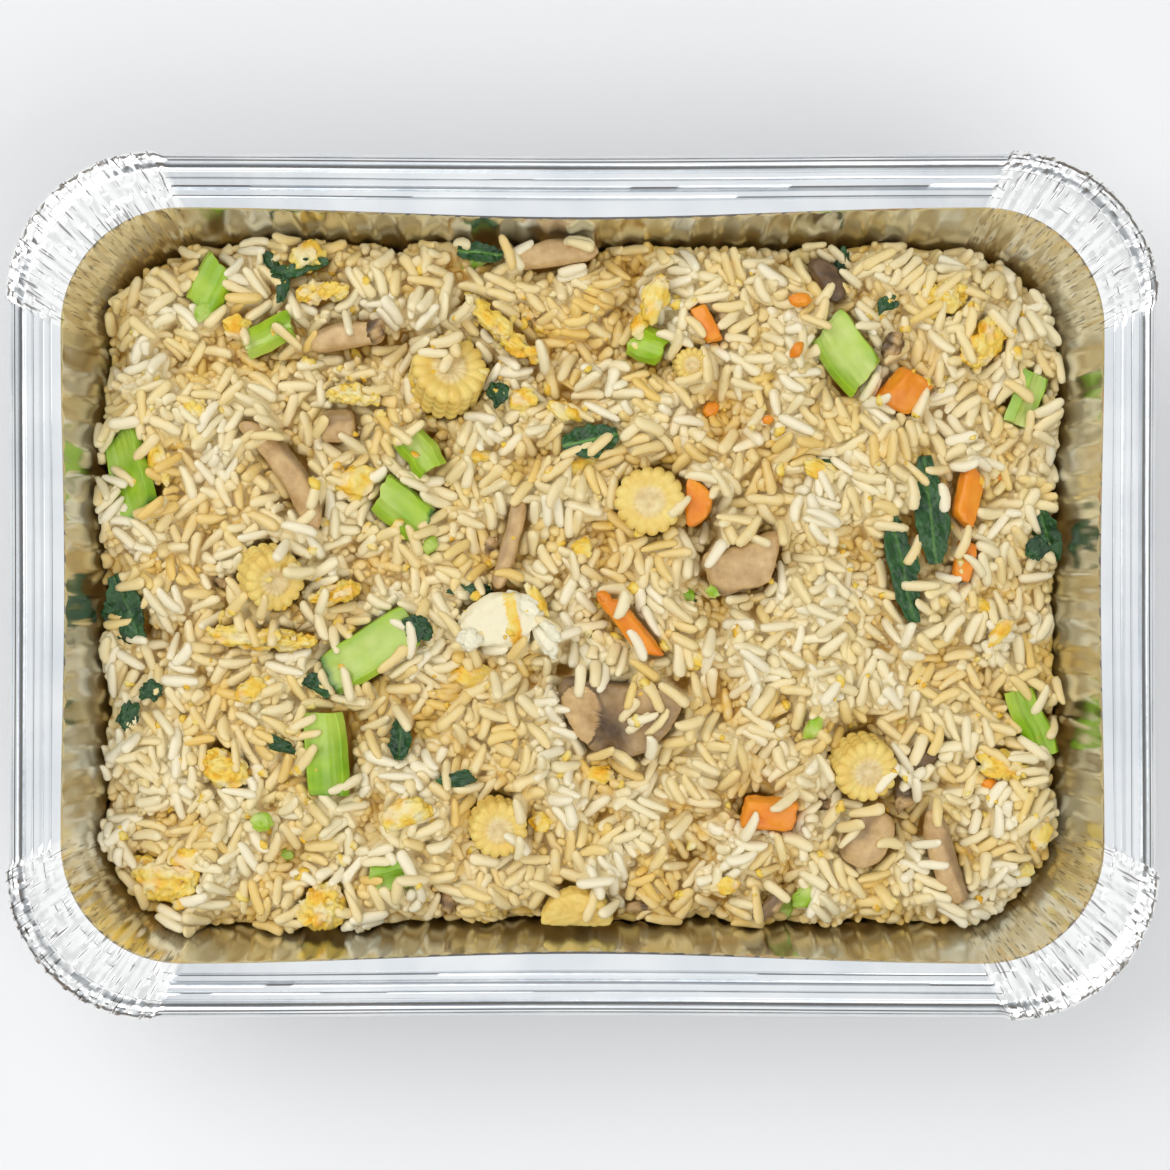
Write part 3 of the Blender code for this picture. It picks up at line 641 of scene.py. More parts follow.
def sheet(node, heading, cells, form, thickness, material):  # a grid bent by form, then given its thickness
    bm = bmesh.new()
    bmesh.ops.create_grid(bm, x_segments=cells[0], y_segments=cells[1], size=0.5)
    values = {}
    points = []
    for vert in bm.verts:
        place, marks = form(vert.co.x, vert.co.y)
        points.append(place)
        for mark, value in marks.items():
            values.setdefault(mark, []).append(value)
    placed = put(np.array(points), headed(node, heading))
    for vert, point in zip(bm.verts, placed):
        vert.co = point
    piece = pieceFrom(bm, pieceName(node), material)
    for mark, numbers in values.items():
        paint(piece.data, mark, numbers)
    slab = piece.modifiers.new("thickness", "SOLIDIFY")
    slab.thickness = thickness * mm
    slab.offset = 0
    if thickness > 1:
        edge = piece.modifiers.new("edge", "BEVEL")
        edge.width = 0.45 * mm
        edge.segments = 3
        edge.limit_method = "ANGLE"
        edge.angle_limit = math.radians(50)
    return piece


# length, width, slant of the cut ends, heading, paleness, dark ends (left, right)
stalks = [
    (11, 7.6, 0.35, 62, 0.05, (0, 0)),
    (19, 9.6, -0.3, -68, 0.1, (0.5, 0.7)),
    (22, 9.8, 0.1, 32, 0.6, (0.9, 0)),
    (18.5, 9.4, 0.1, -83, 0.15, (0, 0.4)),
    (15, 10.4, -0.3, -57, 0.7, (0.3, 0)),
    (12, 6, 0.0, 68, 0.7, (0, 0)),
    (15.5, 6.4, 0.2, -66, 0.2, (0, 0)),
    (11.5, 5, 0.1, 26, 0.4, (0, 0)),
    (7.6, 6.8, 0.2, -20, 0.05, (0, 0)),
    (13, 8.6, -0.2, -38, 0.3, (0, 0.9)),
    (9, 6.4, 0.1, -52, 0.5, (0, 0)),
    (9.6, 5.6, 0.0, 14, 0.3, (0, 0)),
]

# length, width, heading, seed, light rib
leaves = [
    (24, 7.4, -83, 1, 0.5),
    (24, 6.4, -77, 2, 0.4),
    (12.5, 7, 12, 3, 1.0),
    (12, 6, -74, 4, 0.5),
    (16, 7, -64, 5, 0.3),
    (13, 3.4, 12, 6, 0.2),
    (9.4, 5, 85, 7, 0.3),
    (10, 4.2, -6, 8, 1.0),
]


def buildStalk(node, look):
    length, width, slant, heading, pale, ends = look
    seed = length * 3 + width

    def form(along, across):
        ragged = noise.noise(Vector((across * 4, seed, 0)))
        wavy = noise.noise(Vector((along * 3, seed, 5)))
        x = along * (length + 1.4 * ragged) + slant * across * width
        y = across * width * (1 - 0.25 * (2 * along) ** 4 * abs(across)) + 0.5 * wavy
        rib = math.sin(3.1 * across * width + 2 * wavy + seed) * (0.5 + wavy)
        z = 1.2 * (4 * across * across - 0.5) + 0.4 * math.sin(3 * along) + 0.05 * rib + 0.25 * ragged
        dark = max(ends[0] * (-2 * along - 0.82), ends[1] * (2 * along - 0.82), 0) * 6
        fade = noise.noise(Vector((along * 2, across * 2, seed)))
        shade = pale * (1.15 - 0.9 * abs(2 * across) ** 3) + 0.3 * fade - 0.25 * along
        return (x, y, z), {"rind": min(1, dark), "pale": min(1, max(0, shade)), "vein": rib}

    return sheet(node, heading, (36, 26), form, 2.4, stalkFinish)


def buildLeaf(node, look):
    length, width, heading, seed, rib = look

    def form(along, across):
        swell = 0.35 + 0.65 * math.cos(math.pi * along) ** 0.8 if abs(along) < 0.5 else 0.35
        frill = noise.noise(Vector((along * 9, across * 3, seed)))
        y = across * width * swell * (1 + 0.3 * frill)
        z = 0.8 * (math.sin(9 * along + seed) * (0.3 + abs(across)) + 1.2 * abs(across) - 0.3)
        crease = noise.fractal(Vector((along * length * 0.45, y * 0.6, seed)), 1.0, 2.0, 3)
        z += 0.55 * crease + 0.7 * abs(across) * frill
        middle = max(0, 1 - abs(across) * width * swell / 0.55) * rib
        branch = abs((along * length * 0.55 - abs(y) * 0.8) % 1 - 0.5)
        side = max(0, 1 - branch * 9) * 0.25 * rib
        return (along * length, y, z), {"vein": max(middle, side)}

    return sheet(node, heading, (54, 26), form, 0.45, leafFinish)


mushroomLooks = [  # how dark the skin is, and where on the piece it begins
    (0, 0), (0, 0), (0.45, 0.1), (0.6, 0.35), (0.4, 0.35), (0.35, 0.6), (0.55, 0.1), (0.9, -1.2),
    (0.5, 0.2), (1.0, -1.5), (0.3, 0.5), (0.8, -0.6),
]


def buildMushroom(node, look, seed):
    strip = node not in ("mushroom_1", "mushroom_2", "mushroom_3")
    levels = 2 if strip else 4
    piece = softened(node, mushroomFinish, levels, pitch=0.3, depth=0.35, seed=seed, keepFaces=strip)
    local = localPoints(piece, node)
    darkest, start = look
    wander = wandering(local, 1.6, seed)
    skin = darkest * np.clip((local[:, 1] - start + 0.5 * wander) * 4, 0, 1)
    if node == "mushroom_1":  # pale cut stem on the left, gills in the middle, brown cap on the right
        stem = np.hypot((local[:, 0] + 0.6) / 0.36, (local[:, 1] + 0.05) / 0.8) + 0.15 * wander
        cap = np.clip(0.8 - 0.5 * np.clip((local[:, 0] - 0.1) * 4, 0, 1) + 0.6 * wander, 0, 1)
        skin = np.where(stem < 0.9, 0.05 + 0.25 * wander, np.where(stem < 1.02, 0.95, cap))
    if node == "mushroom_2":  # skin along its lower left edge
        skin = np.clip((-local[:, 0] - local[:, 1] - 1.05 + 0.4 * wander) * 4, 0, 0.9)
    paint(piece.data, "skin", np.clip(skin, 0, 1))
    return piece


def buildToppings():
    for node in nodesNamed("baby_corn"):
        if node != "baby_corn_7":
            cornSlice(node)
    halved = softened("baby_corn_7", cornFinish, levels=4, pitch=0.9, depth=0.25, seed=4)
    paint(halved.data, "core", np.zeros(len(halved.data.vertices)))
    finished(halved, "baby_corn", "baby_corn_7")
    for number, node in enumerate(nodesNamed("carrot")):
        piece = softened(node, carrotFinish, levels=3, pitch=0.5, depth=0.3, seed=11 * number)
        finished(piece, "carrot", node)
    for number, node in enumerate(nodesNamed("mushroom")):
        finished(buildMushroom(node, mushroomLooks[number], 7 * number), "mushroom", node)
    for number, node in enumerate(nodesNamed("egg")):
        curdled = node != "egg_6"
        pitch, depth = (0.36, 1.2) if curdled else (0.22, 0.7)
        piece = softened(node, eggFinish, 3, pitch, depth, 5 * number, ridged=curdled, keepFaces=True)
        local = localPoints(piece, node)
        white = np.clip(1.6 * wandering(local, 1.3, number), 0, 0.5)
        if not curdled:  # the piece of egg white has a yellow band
            white = 0.9 - 0.9 * (np.abs(local[:, 0] - 0.25) < 0.12)
        paint(piece.data, "white", white)
        finished(piece, "egg", node)
    for node, look in zip(nodesNamed("pak_choi_stalk"), stalks):
        finished(buildStalk(node, look), "pak_choi_stalk", node)
    for node, look in zip(nodesNamed("pak_choi_leaf"), leaves):
        finished(buildLeaf(node, look), "pak_choi_leaf", node)


buildToppings()
print("toppings ready")


# rice

photo = {
    "size": 1170,
    "scale": 0.217,  # millimetres a pixel at the rim
    "middle": (585.0, 585.0),
    "trayMiddle": (582.5, 585.5),
    "eyeOverRim": 620.0,
}

rice = {
    "cell": 0.4,
    "halfLength": 112.0,
    "halfWidth": 81.2,
    "coreDrop": 3.4,
    "clumps": ((15, 4.8), (7, 3.0)),  # size and rise of the lumps that the grains lie in
    "swirl": 13,  # how far the grains' lie stays alike
    "swirlSpread": 0.42,
    "most": 15000,
    "length": (5.6, 7.6, 9.6),  # shortest, usual, longest
    "strewnLength": (6.5, 9),
    "width": (2.0, 2.7),
    "flatness": 0.86,
    "brokenShare": 0.2,
    "bedLean": 0.42,
    "underneath": (-2.6, -0.9),  # how deep the first grains lie under the heap's level
    "between": (-0.9, 0.4),  # the same for those that fill the last gaps
    "overlap": 1.6,  # how high a grain may lie over a piece's own edge
    "massBlur": 10,
    "massDrop": 1.15,  # how far the soft mass lies below the grains' tops
    "cracks": 6.0,  # depth of the pockets between clumps
    "shadeDepth": 4.4,  # how far below the heap's level the painted shade is darkest
    "edgeDip": 9,  # how deep the notches are where the heap meets the wall
    "edgeReach": 12,
    "steepest": 0.85,
    "sink": 0.85,
    "tooHigh": 1.1,
    "highest": 39.6,  # the space over the food stays free
    "usualLevel": 33,
    "bottom": 2,
    "wellInside": (92, 62),  # grains this near to the middle can't reach the wall
    "onTop": 2.2,  # how high the grains of riceOnTop may lie over what is there
}


def treeOf(names):
    points, faces, first = [], [], 0
    for name in names:
        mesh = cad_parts[name].data
        points += [tuple(p) for p in meshPoints(mesh) / mm]
        faces += [[first + v for v in face.vertices] for face in mesh.polygons]
        first = len(points)
    return BVHTree.FromPolygons(points, faces)


def castGrid(tree, xs, ys, missing):
    heights = np.full((len(xs), len(ys)), missing)
    down = Vector((0, 0, -1))
    for i, x in enumerate(xs):
        for j, y in enumerate(ys):
            hit = tree.ray_cast(Vector((x, y, 60)), down)[0]
            if hit:
                heights[i, j] = hit.z
    return heights


def spread(mask, reach):
    grown = mask.copy()
    for _ in range(reach):
        grown[1:] |= grown[:-1]
        grown[:-1] |= grown[1:]
        grown[:, 1:] |= grown[:, :-1]
        grown[:, :-1] |= grown[:, 1:]
    return grown


def beside(field):  # the four neighbours of each cell
    padded = np.pad(field, 1, mode="edge")
    return padded[:-2, 1:-1], padded[2:, 1:-1], padded[1:-1, :-2], padded[1:-1, 2:]


def blurred(field, rounds):
    for _ in range(rounds):
        field = (sum(beside(field)) + 4 * field) / 8
    return field


def heapSurfaces():  # the heap's own level, bridged over the dips under the toppings, and the toppings' tops
    coarse = 2 * rice["cell"]
    xs = np.arange(-rice["halfLength"], rice["halfLength"], coarse)
    ys = np.arange(-rice["halfWidth"], rice["halfWidth"], coarse)
    heap = castGrid(treeOf(["fried_rice"]), xs, ys, -1)
    tops = castGrid(treeOf(toppingNodes), xs, ys, -1)
    known = (heap > 0) & ~spread(tops > 0, 8)
    level = np.where(known, heap, heap[known].mean())
    for _ in range(500):
        level = np.where(known, heap, sum(beside(level)) / 4)
    return xs, ys, blurred(level, 3), tops, heap > 0


def doubled(field):
    return field.repeat(2, axis=0).repeat(2, axis=1)


def noiseField(xs, ys, size, layer):
    return np.array([[noise.noise(Vector((x / size, y / size, layer))) for y in ys] for x in xs])


class Heap:
    def __init__(self):
        xs, ys, level, tops, inside = heapSurfaces()
        self.xs, self.ys = xs, ys
        self.x0, self.y0, self.cell = xs[0], ys[0], rice["cell"]
        self.smooth = blurred(doubled(level), 4)
        self.target = self.smooth.copy()
        for size, rise in rice["clumps"]:
            self.target += rise * blurred(doubled(noiseField(xs, ys, size, size)), 2)
        between = noiseField(xs, ys, 10, 3)
        deep = noiseField(xs, ys, 22, 9)
        cracks = np.clip(1 - np.abs(between) * 6.5, 0, 1) * np.clip(0.55 + 1.6 * deep, 0, 1)
        self.target -= rice["cracks"] * doubled(cracks) + self.edgeDips()
        self.tops = doubled(tops)
        cap = np.where(self.tops > 0, self.tops - 0.2, 99)  # the rice rises away from each topping
        for _ in range(12):
            cap = np.minimum(cap, np.minimum.reduce(beside(cap)) + 0.38)
        self.target = np.minimum(self.target, cap)
        self.ground = self.target - rice["coreDrop"]
        self.height = np.maximum(self.ground, self.tops)
        self.inside = doubled(spread(inside, 2))
        self.owner = np.full(self.height.shape, -1, dtype=np.int32)
        self.grains = []

    def edgeDips(self):  # the heap's uneven edge: lumps that lean on the wall, with notches between
        dips = np.zeros((len(self.xs), len(self.ys)))
        for i, x in enumerate(self.xs):
            for j, y in enumerate(self.ys):
                near = 1 - insideTray(x, y, rice["usualLevel"]) / rice["edgeReach"]
                if near > 0:
                    lump = 0.3 + 1.6 * noise.noise(Vector((x / 12, y / 12, 77)))
                    dips[i, j] = rice["edgeDip"] * min(1, near) ** 1.3 * min(1, max(0, lump))
        return blurred(doubled(dips), 3)

    def cells(self, x, y):
        i = np.clip(((x - self.x0) / self.cell + 0.5).astype(int), 0, self.height.shape[0] - 1)
        j = np.clip(((y - self.y0) / self.cell + 0.5).astype(int), 0, self.height.shape[1] - 1)
        return i, j

    def at(self, field, x, y):
        return float(field[self.cells(np.array(x), np.array(y))])

    def outline(self, x, y, cos, sin, reach, width):  # cells under a grain: seven stations of three
        t = np.linspace(-0.92, 0.92, 7)
        side = np.array([-0.3, 0.0, 0.3]) * width
        px = x + cos * reach * t[:, None] - sin * side[None, :]
        py = y + sin * reach * t[:, None] + cos * side[None, :]
        return reach * t, self.cells(px, py)

    def fitsTray(self, x, y, z, cos, sin, reach, rise, width):
        if abs(x) < rice["wellInside"][0] and abs(y) < rice["wellInside"][1]:
            return True
        ends = [(x + share * cos * reach, y + share * sin * reach, z + share * rise) for share in (-1, 0, 1)]
        return all(insideTray(*end) >= 0.45 * width + 0.3 for end in ends)

    def add(self, x, y, z, turn, tilt, length, width):
        cos, sin, lean = math.cos(turn), math.sin(turn), math.atan(tilt)
        reach, rise = 0.5 * length * math.cos(lean), 0.5 * length * math.sin(lean)
        if z + abs(rise) > rice["highest"] or not self.fitsTray(x, y, z, cos, sin, reach, rise, width):
            return False
        self.grains.append((x, y, z, turn, lean, length, width))
        thick = rice["flatness"] * width / 2 / math.cos(lean)
        self.stamp(len(self.grains) - 1, x, y, z, cos, sin, tilt, reach, width, thick)
        return True

    def rest(self, x, y, turn, length, width, lid=0):  # lies across its two highest supports
        cos, sin = math.cos(turn), math.sin(turn)
        u, under = self.outline(x, y, cos, sin, length / 2, width)
        thick = rice["flatness"] * width / 2
        need = self.height[under].max(axis=1) + thick * np.sqrt(1 - (2 * u / length) ** 2)
        slope = (need[None, 4:] - need[:3, None]) / (u[None, 4:] - u[:3, None])
        middle = need[:3, None] - slope * u[:3, None]
        best = np.unravel_index(np.argmax(middle), middle.shape)
        tilt = float(np.clip(slope[best], -rice["steepest"], rice["steepest"]))
        z = float((need - tilt * u).max()) - rice["sink"]
        if z > max(self.at(self.target, x, y) + rice["tooHigh"], self.at(self.tops, x, y) + 0.5, lid):
            return False
        return self.add(x, y, z, turn, tilt, length, width)

    def bed(self, x, y, turn, length, width, depth):  # pressed in among its neighbours, as clumped grains are
        lean = min(1.1, max(-1.1, draw.normal(0, rice["bedLean"])))
        cos, sin, tilt = math.cos(turn), math.sin(turn), math.tan(lean)
        u, under = self.outline(x, y, cos, sin, 0.5 * length * math.cos(lean), width)
        level = self.target[under][:, 1]
        thick = rice["flatness"] * width / 2
        z = float(level.mean()) - thick + draw.uniform(*depth)
        along = z + tilt * u
        if ((along + thick)[:, None] > self.height[under] + 0.15).mean() < 0.35:
            return False
        within = self.tops[under].max(axis=1) > along - 0.5 * thick
        if within.sum() > 1:
            return False
        return self.add(x, y, z, turn, tilt, length, width)

    def stamp(self, number, x, y, z, cos, sin, tilt, reach, width, thick):
        pad = reach + width
        i0, j0 = self.cells(np.array(x - pad), np.array(y - pad))
        i1, j1 = self.cells(np.array(x + pad), np.array(y + pad))
        gx = self.x0 + np.arange(i0, i1 + 1)[:, None] * self.cell - x
        gy = self.y0 + np.arange(j0, j1 + 1)[None, :] * self.cell - y
        u = gx * cos + gy * sin
        v = gy * cos - gx * sin
        body = 1 - (u / reach) ** 4 - (2 * v / width) ** 2
        top = np.where(body > 0, z + tilt * u + thick * np.sqrt(np.maximum(body, 0)), -1)
        patch = self.height[i0:i1 + 1, j0:j1 + 1]
        above = top > patch
        patch[above] = top[above]
        self.owner[i0:i1 + 1, j0:j1 + 1][above] = number

    def fill(self, place, leastRoom, lastGaps, shorter=1.0, **how):
        while len(self.grains) < rice["most"]:
            free = self.room()
            places = np.argwhere(free > leastRoom)
            if len(places) < lastGaps:
                break
            before = len(self.grains)
            weight = free[places[:, 0], places[:, 1]]
            picks = draw.choice(len(places), size=min(400, len(places)), p=weight / weight.sum())
            for i, j in places[picks]:
                x = self.x0 + (i + draw.uniform(-0.5, 0.5)) * self.cell
                y = self.y0 + (j + draw.uniform(-0.5, 0.5)) * self.cell
                length = draw.triangular(*rice["length"])
                length *= 0.5 if draw.random() < rice["brokenShare"] else 1
                width = draw.uniform(*rice["width"])
                swirl = 7 * noise.noise(Vector((x, y, 40)) / rice["swirl"])
                turn = swirl + draw.normal(0, rice["swirlSpread"])
                for attempt in range(4):
                    if place(x, y, turn + 0.8 * attempt, length * shorter**attempt, width, **how):
                        break
            if len(self.grains) - before < 12:
                break

    def strew(self, x, y, reach, count, over):  # a few grains that lie over something
        for _ in range(6 * count):
            px, py = x + draw.normal(0, reach), y + draw.normal(0, reach)
            length, width = draw.uniform(*rice["strewnLength"]), draw.uniform(*rice["width"])
            lid = self.at(self.height, px, py) + over
            count -= self.rest(px, py, draw.uniform(0, math.pi), length, width, lid)
            if count <= 0:
                break

    def room(self):  # how far each place is under the heap it should reach
        onTopping = self.tops > 0
        return np.where(onTopping, 0.35, 1.0) * (self.target - self.height) * self.inside


def grainShapes():  # whole, curved, split and broken grains of unit length, width and thickness
    shapes = []
    for kind in range(12):
        bm = bmesh.new()
        bmesh.ops.create_uvsphere(bm, u_segments=8, v_segments=6, radius=1)
        for vert in bm.verts:
            across, up, along = vert.co
            ring = math.hypot(across, up)
            along = math.copysign(abs(along) ** 0.64, along)
            swell = max(0, 1 - abs(along) ** 3.8) ** 0.38 / ring if ring > 0.01 else 0
            swell *= 1 - 0.12 * (kind % 3) * along
            across *= swell * (1.3 if kind % 5 == 4 and along > 0.3 else 1)
            up *= swell * (0.75 if kind % 5 == 4 and along > 0.3 else 1)
            bend = (0.05 + 0.15 * (kind % 4)) * (along * along - 0.35)
            dent = noise.noise_vector(Vector((2.2 * along, across, up + 5 * kind)))
            across, up = across * (1 + 0.3 * dent.x) + 0.14 * dent.y, up * (1 + 0.3 * dent.z)
            vert.co = Vector((along, across + bend, up + 0.6 * bend * ((kind % 2) * 2 - 1))) / 2
        mesh = bpy.data.meshes.new("grainShape")
        bm.to_mesh(mesh)
        bm.free()
        faces = []
        for face in mesh.polygons:  # each from its lowest vertex on, because the operator's order varies
            ring = face.vertices[:]
            lowest = ring.index(min(ring))
            faces.append(ring[lowest:] + ring[:lowest])
        shapes.append((meshPoints(mesh), sorted(faces)))
        bpy.data.meshes.remove(mesh)
    return shapes


def rotated(points, axis, angle):
    first, second = (axis + 1) % 3, (axis + 2) % 3
    cos, sin = math.cos(angle), math.sin(angle)
    moved = points.copy()
    moved[:, first] = points[:, first] * cos - points[:, second] * sin
    moved[:, second] = points[:, first] * sin + points[:, second] * cos
    return moved


def joinedGrains(name, grains, material, shapes):
    points, faces, tonesAndShade, golds, first = [], [], [], [], 0
    for x, y, z, turn, lean, length, width, tone, gold in grains:
        shape, shapeFaces = shapes[draw.integers(len(shapes))]
        roll = draw.uniform(-0.6, 0.6)
        turned = shape * (length, width, width * rice["flatness"])
        for axis, angle in ((0, roll), (1, -lean), (2, turn)):
            turned = rotated(turned, axis, angle)
        points.append(turned + (x, y, z))
        faces += [tuple(first + v for v in face) for face in shapeFaces]
        first += len(shape)
        # painted light: each grain's upper side is lighter than its underside; its ends are lighter too
        tonesAndShade.append(tone - 0.1 + 0.25 * shape[:, 2] + 0.8 * shape[:, 0] ** 2)
        golds.append(np.full(len(shape), gold))
    mesh = bpy.data.meshes.new(name)
    mesh.from_pydata((np.concatenate(points) * mm).tolist(), [], faces)
    paint(mesh, "tone", np.clip(np.concatenate(tonesAndShade), 0, 1))
    paint(mesh, "gold", np.concatenate(golds))
    return pieceOf(mesh, name, material)


def buildCore(heap):  # the soft mass that the upper grains are half sunk in, painted darker where it lies low as painted shade
    grainTops = np.where(heap.owner >= 0, heap.height, heap.ground)
    grainTops = blurred(grainTops, rice["massBlur"]) - rice["massDrop"]
    grainTops = np.where(heap.tops > 0, np.minimum(grainTops, heap.tops - 0.8), grainTops)[::2, ::2]
    level = heap.smooth[::2, ::2]
    xs, ys = heap.xs, heap.ys
    bm = bmesh.new()
    tone = bm.verts.layers.float.new("tone")
    bmesh.ops.create_grid(bm, x_segments=len(xs) - 1, y_segments=len(ys) - 1, size=0.5)
    for vert in bm.verts:
        i = round((vert.co.x + 0.5) * (len(xs) - 1))
        j = round((vert.co.y + 0.5) * (len(ys) - 1))
        vert.co = Vector((xs[i], ys[j], grainTops[i, j]))
        # painted shade: darker the further the mass lies below the heap's level
        vert[tone] = min(1, max(0, 1.0 + (grainTops[i, j] - level[i, j]) / rice["shadeDepth"]))
    outside = [vert for vert in bm.verts if vert.co.xy.length > 60 and insideTray(*vert.co) < -1]
    bmesh.ops.delete(bm, geom=outside, context="VERTS")
    for vert in bm.verts:
        vert.co = keptInside(vert.co, 0.5)
    rim = [edge for edge in bm.edges if edge.is_boundary]
    grown = bmesh.ops.extrude_edge_only(bm, edges=rim)["geom"]
    for vert in (item for item in grown if isinstance(item, bmesh.types.BMVert)):
        lean = (vert.co.z - rice["bottom"]) * math.tan(tray["draft"])
        low = Vector((vert.co.x * (1 - lean / 110), vert.co.y * (1 - lean / 79), rice["bottom"]))
        vert.co = keptInside(low, 1)
    bmesh.ops.holes_fill(bm, edges=[edge for edge in bm.edges if edge.is_boundary])
    bmesh.ops.recalc_face_normals(bm, faces=bm.faces[:])
    return pieceFrom(bm, "riceCore", riceCore)


riceOnTop = [  # column and row in the photograph, how far they spread, how many
    (645, 722, 1.5, 4), (605, 682, 2.0, 3), (640, 684, 2.0, 4), (668, 690, 1.6, 2), (722, 532, 2, 5),
    (745, 536, 2, 4), (118, 478, 1.8, 2), (440, 352, 2, 2), (905, 770, 2, 2), (845, 815, 2, 3),
    (556, 640, 2, 3), (612, 655, 1.5, 2), (278, 430, 2, 3), (300, 520, 1.6, 2), (560, 250, 3, 3),
    (590, 890, 2.5, 4), (700, 480, 1.5, 2), (235, 600, 1.6, 2),
]


def photoPoint(heap, column, row):  # the place on the heap that this spot of the photograph shows
    z = rice["usualLevel"]
    for _ in range(3):
        scale = photo["scale"] * (1 + (tray["height"] - z) / photo["eyeOverRim"])
        x = (column - photo["trayMiddle"][0]) * scale
        y = (photo["trayMiddle"][1] - row) * scale
        z = heap.at(heap.height, x, y)
    return x, y, z


riceKinds = {  # colour low down in the heap with painted shade, colour on top, stain of egg and oil
    "riceGolden": ((0.82, 0.52, 0.11), (0.92, 0.72, 0.33), (0.88, 0.56, 0.10)),
    "riceCream": ((0.86, 0.58, 0.16), (0.94, 0.78, 0.43), (0.90, 0.62, 0.14)),
    "riceIvory": ((0.87, 0.61, 0.20), (0.96, 0.83, 0.51), (0.92, 0.66, 0.20)),
    "riceBright": ((0.89, 0.66, 0.27), (0.98, 0.88, 0.62), (0.94, 0.74, 0.30)),
}


def shaded(heap, grain):  # the grain with painted shade, darker the deeper it lies, a random tone, and its stain
    x, y, z = grain[:3]
    depth = heap.at(heap.smooth, x, y) - z
    # painted shade: the deeper below the heap's smooth level, the darker the grain, plus a random tone
    tone = 0.88 - depth / rice["shadeDepth"] + draw.normal(0, 0.07)
    gold = 2.6 * (noise.noise(Vector((x, y, 7)) / 9) - 0.08) * draw.uniform(0.5, 1)
    return (*grain, min(1, max(0, tone)), min(0.7, max(0, gold)))


def buildRice():
    heap = Heap()
    print("heap ready")
    heap.fill(heap.bed, leastRoom=2.2, lastGaps=3000, depth=rice["underneath"])
    print("grains bedded", len(heap.grains))
    heap.fill(heap.rest, leastRoom=0.4, lastGaps=400)
    print("grains dropped", len(heap.grains))
    heap.fill(heap.bed, leastRoom=0.8, lastGaps=400, shorter=0.85, depth=rice["between"])
    print("gaps filled", len(heap.grains))
    for column, row, reach, count in riceOnTop:
        x, y, _ = photoPoint(heap, column, row)
        heap.strew(x, y, reach, count, rice["onTop"])
    for node in toppingNodes:
        centre, turn, size = nodePose(node)
        for _ in range(1 + int(size[0] * size[1] / 60)):
            angle = draw.uniform(0, 2 * math.pi)
            edge = centre + turn @ (0.5 * size * (math.cos(angle), math.sin(angle), 0))
            heap.strew(edge[0], edge[1], 0.8, 1, rice["overlap"])
    print("toppings strewn", len(heap.grains))
    seen = np.bincount(heap.owner[heap.owner >= 0], minlength=len(heap.grains))
    shown = [shaded(heap, grain) for grain, cells in zip(heap.grains, seen) if cells >= 3]
    print("grains seen", len(shown))
    finished(buildCore(heap), "rice", "fried_rice")
    shapes = grainShapes()
    paleness = [noise.noise(Vector((grain[0], grain[1], 90)) / 11) + draw.normal(0, 0.13) for grain in shown]
    ranked = np.array_split(np.argsort(paleness), len(riceKinds))
    for (name, colours), chosen in zip(riceKinds.items(), ranked):
        grains = [shown[i] for i in chosen]
        finished(joinedGrains(name, grains, riceMaterial(name, *colours), shapes), "rice", "fried_rice")
    return heap


heap = buildRice()
print("rice ready")


# crumbs and small bits that lie on the rice

